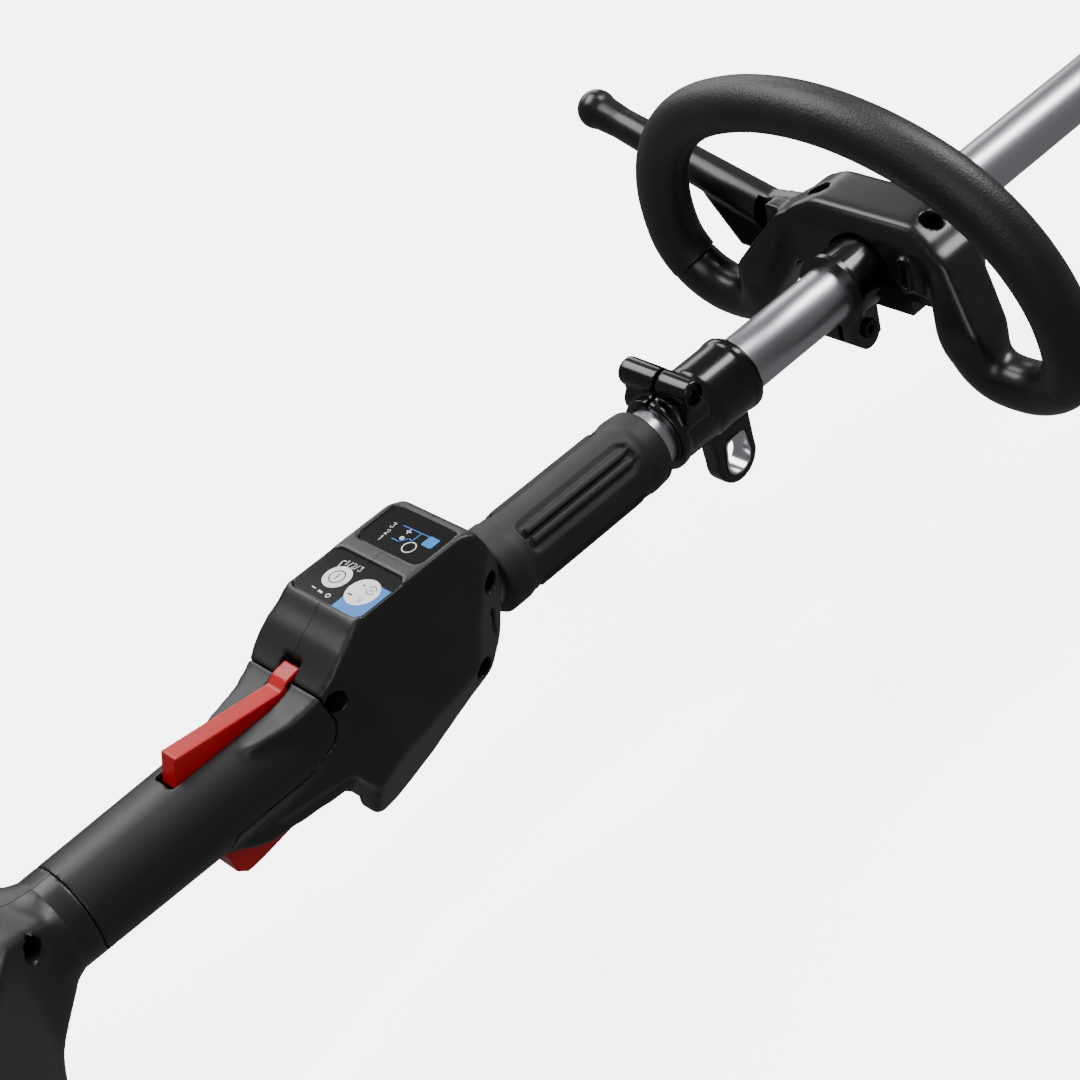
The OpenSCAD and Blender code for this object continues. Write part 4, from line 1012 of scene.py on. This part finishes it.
def make_barrier_bar():
    """Stop that keeps the user's leg behind the handle, thickened at its tip."""
    foot, tip = Vector((76, 58, -2)), Vector((80, 176, 26))
    away = (tip - foot).normalized()
    ball = bmesh.new()
    bmesh.ops.create_uvsphere(ball, u_segments=40, v_segments=24, radius=9.6)
    bmesh.ops.translate(ball, vec=tip, verts=ball.verts)
    parts = [rod(foot, tip, 9.6, 7.3, 40), ball, rod(tip - away * 22, tip, 7.2, 8.8, 40),
             # root: a web that stands on the loop's leg, and the plate screwed to the saddle
             wrapped(((71, 62, -22), (81, 74, 8)), ((72, 100, 0), (79, 106, 10)),
                     ((72, 82, -22), (80, 88, -10))),
             wrapped(((72.5, 44, -6), (80, 50, 12.5)), ((72.5, 66, -12), (81, 74, 8)))]
    solid = cut(melted(together(*parts), 1.1, 6), brick((50, 20, -60), (72.5, 70.5, 60)),
                *[rod((70, 46.8, z), (90, 46.8, z), 1.6) for z in (-0.5, 8)],
                *[rod((76, 46.8, z), (90, 46.8, z), 3.2) for z in (-0.5, 8)])
    finish_piece("barrier_stop_bar", solid, SMOOTH, "barrier_bar", 40)


# ------------------------------------------------------------------ hanger

EYE = (-39, -36)
EYE_R = 6.7
EYE_TOP_Z = -25


def eye_outline(grow):
    """The eye's hole, grown by a margin: round below and straight above."""
    x, z = EYE
    bm = together(rod((x, -20, z), (x, 20, z), EYE_R + grow, sides=64),
                  outline_solid([(x - EYE_R - grow, z), (x + EYE_R + grow, z),
                                 (x + EYE_R - 1.5 + grow, EYE_TOP_Z + grow),
                                 (x - EYE_R + 1.5 - grow, EYE_TOP_Z + grow)], "Y", -20, 20, 2.0, 4))
    return melted(bm, 0.6, 2)


def make_hanger():
    """Split ring round the tube, its pinch boss on top and the eye below."""
    x, z = EYE
    ring = together(rod((-77, 0, 0), (-28, 0, 0), 15.8, sides=96),
                    rod((-77, 0, 0), (-73, 0, 0), 16.6, sides=96),
                    rod((-53, 0, 0), (-28, 0, 0), 16.4, sides=96),
                    rod((-32, 0, 0), (-28, 0, 0), 16.9, sides=96))
    boss = together(rod((-66, -17.5, 19.5), (-66, 20.6, 19.5), 6.0, sides=48),
                    wrapped(((-73, -17, 6), (-59, 19, 10)), ((-70, -17, 17), (-62, 17, 19))))
    eye = together(rod((x, -4.4, z), (x, 4.4, z), 11.6, sides=64),
                   wrapped(((x - 11.4, -4.4, z), (x + 11.2, 4.4, z + 4)),
                           ((x - 12.5, -4.4, -18), (x + 11, 4.4, -10))))
    hole = eye_outline(0.7)
    solid = melted(together(ring, boss, eye), 0.8, 4)
    solid = cut(solid, hole, rod((-90, 0, 0), (-20, 0, 0), 12.75, sides=96),
                brick((-80, -0.9, 8), (-57.5, 0.9, 40)),
                brick((-57.6, -30, -2), (-56.6, 30, 40)),
                rod((-66, -25, 19.5), (-66, -14.6, 19.5), 4.5),
                rod((-66, 15.6, 19.5), (-66, 25, 19.5), 4.9))
    finish_piece("hanger_ring_and_eye", melted(solid, 0.55, 2), GLOSS, "hanger_clamp", 40)
    width = brick((x - 20, -4.7, -60), (x + 20, 4.7, 0))
    band = cut(common(eye_outline(0.65), width), eye_outline(-0.35))
    finish_piece("eye_liner_band", band, STEEL, "hanger_eye_liner", 40)


# ------------------------------------------------------------------ springs

# The joint that presses each spring, the side of its fixed end and its shortest share
SPRINGS = [("trigger_spring", "trigger_squeeze", 1, 0.8),
           ("lock_off_spring", "lock_off_press", -1, 0.2),
           ("spool_spring", "bump_press", 1, 0.45)]


def make_springs():
    """Return springs, each a plain copy of its CAD wire riding on the node's body."""
    for node, joint, direction, keep in SPRINGS:
        bm = bmesh.new()
        bm.from_mesh(NODES[node].data)
        piece = finish_piece(node + "_wire", bm, WIRE, node, in_mm=False)
        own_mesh(piece)


# ------------------------------------------------------------------ build

make_camera()
make_studio()
dress_cad_nodes()
make_housings()
make_films()
print_button_film()
print_indicator_film()
make_loop_grip()
make_saddle()
make_levers()
make_front_grip()
make_barrier_bar()
make_hanger()
make_springs()

# How far the edges of the plainer CAD nodes are rounded
ROUNDED_MM = {
    "handle_collar": 0.5, "handle_lower_clamp": 1.0, "motor_housing": 0.8, "motor_cover": 0.8,
    "head_drum": 0.5, "guard": 0.6, "battery_left": 1.5, "battery_right": 1.5, "bump_knob": 0.8,
}
for node_name, width in ROUNDED_MM.items():
    softened(node_name, width)
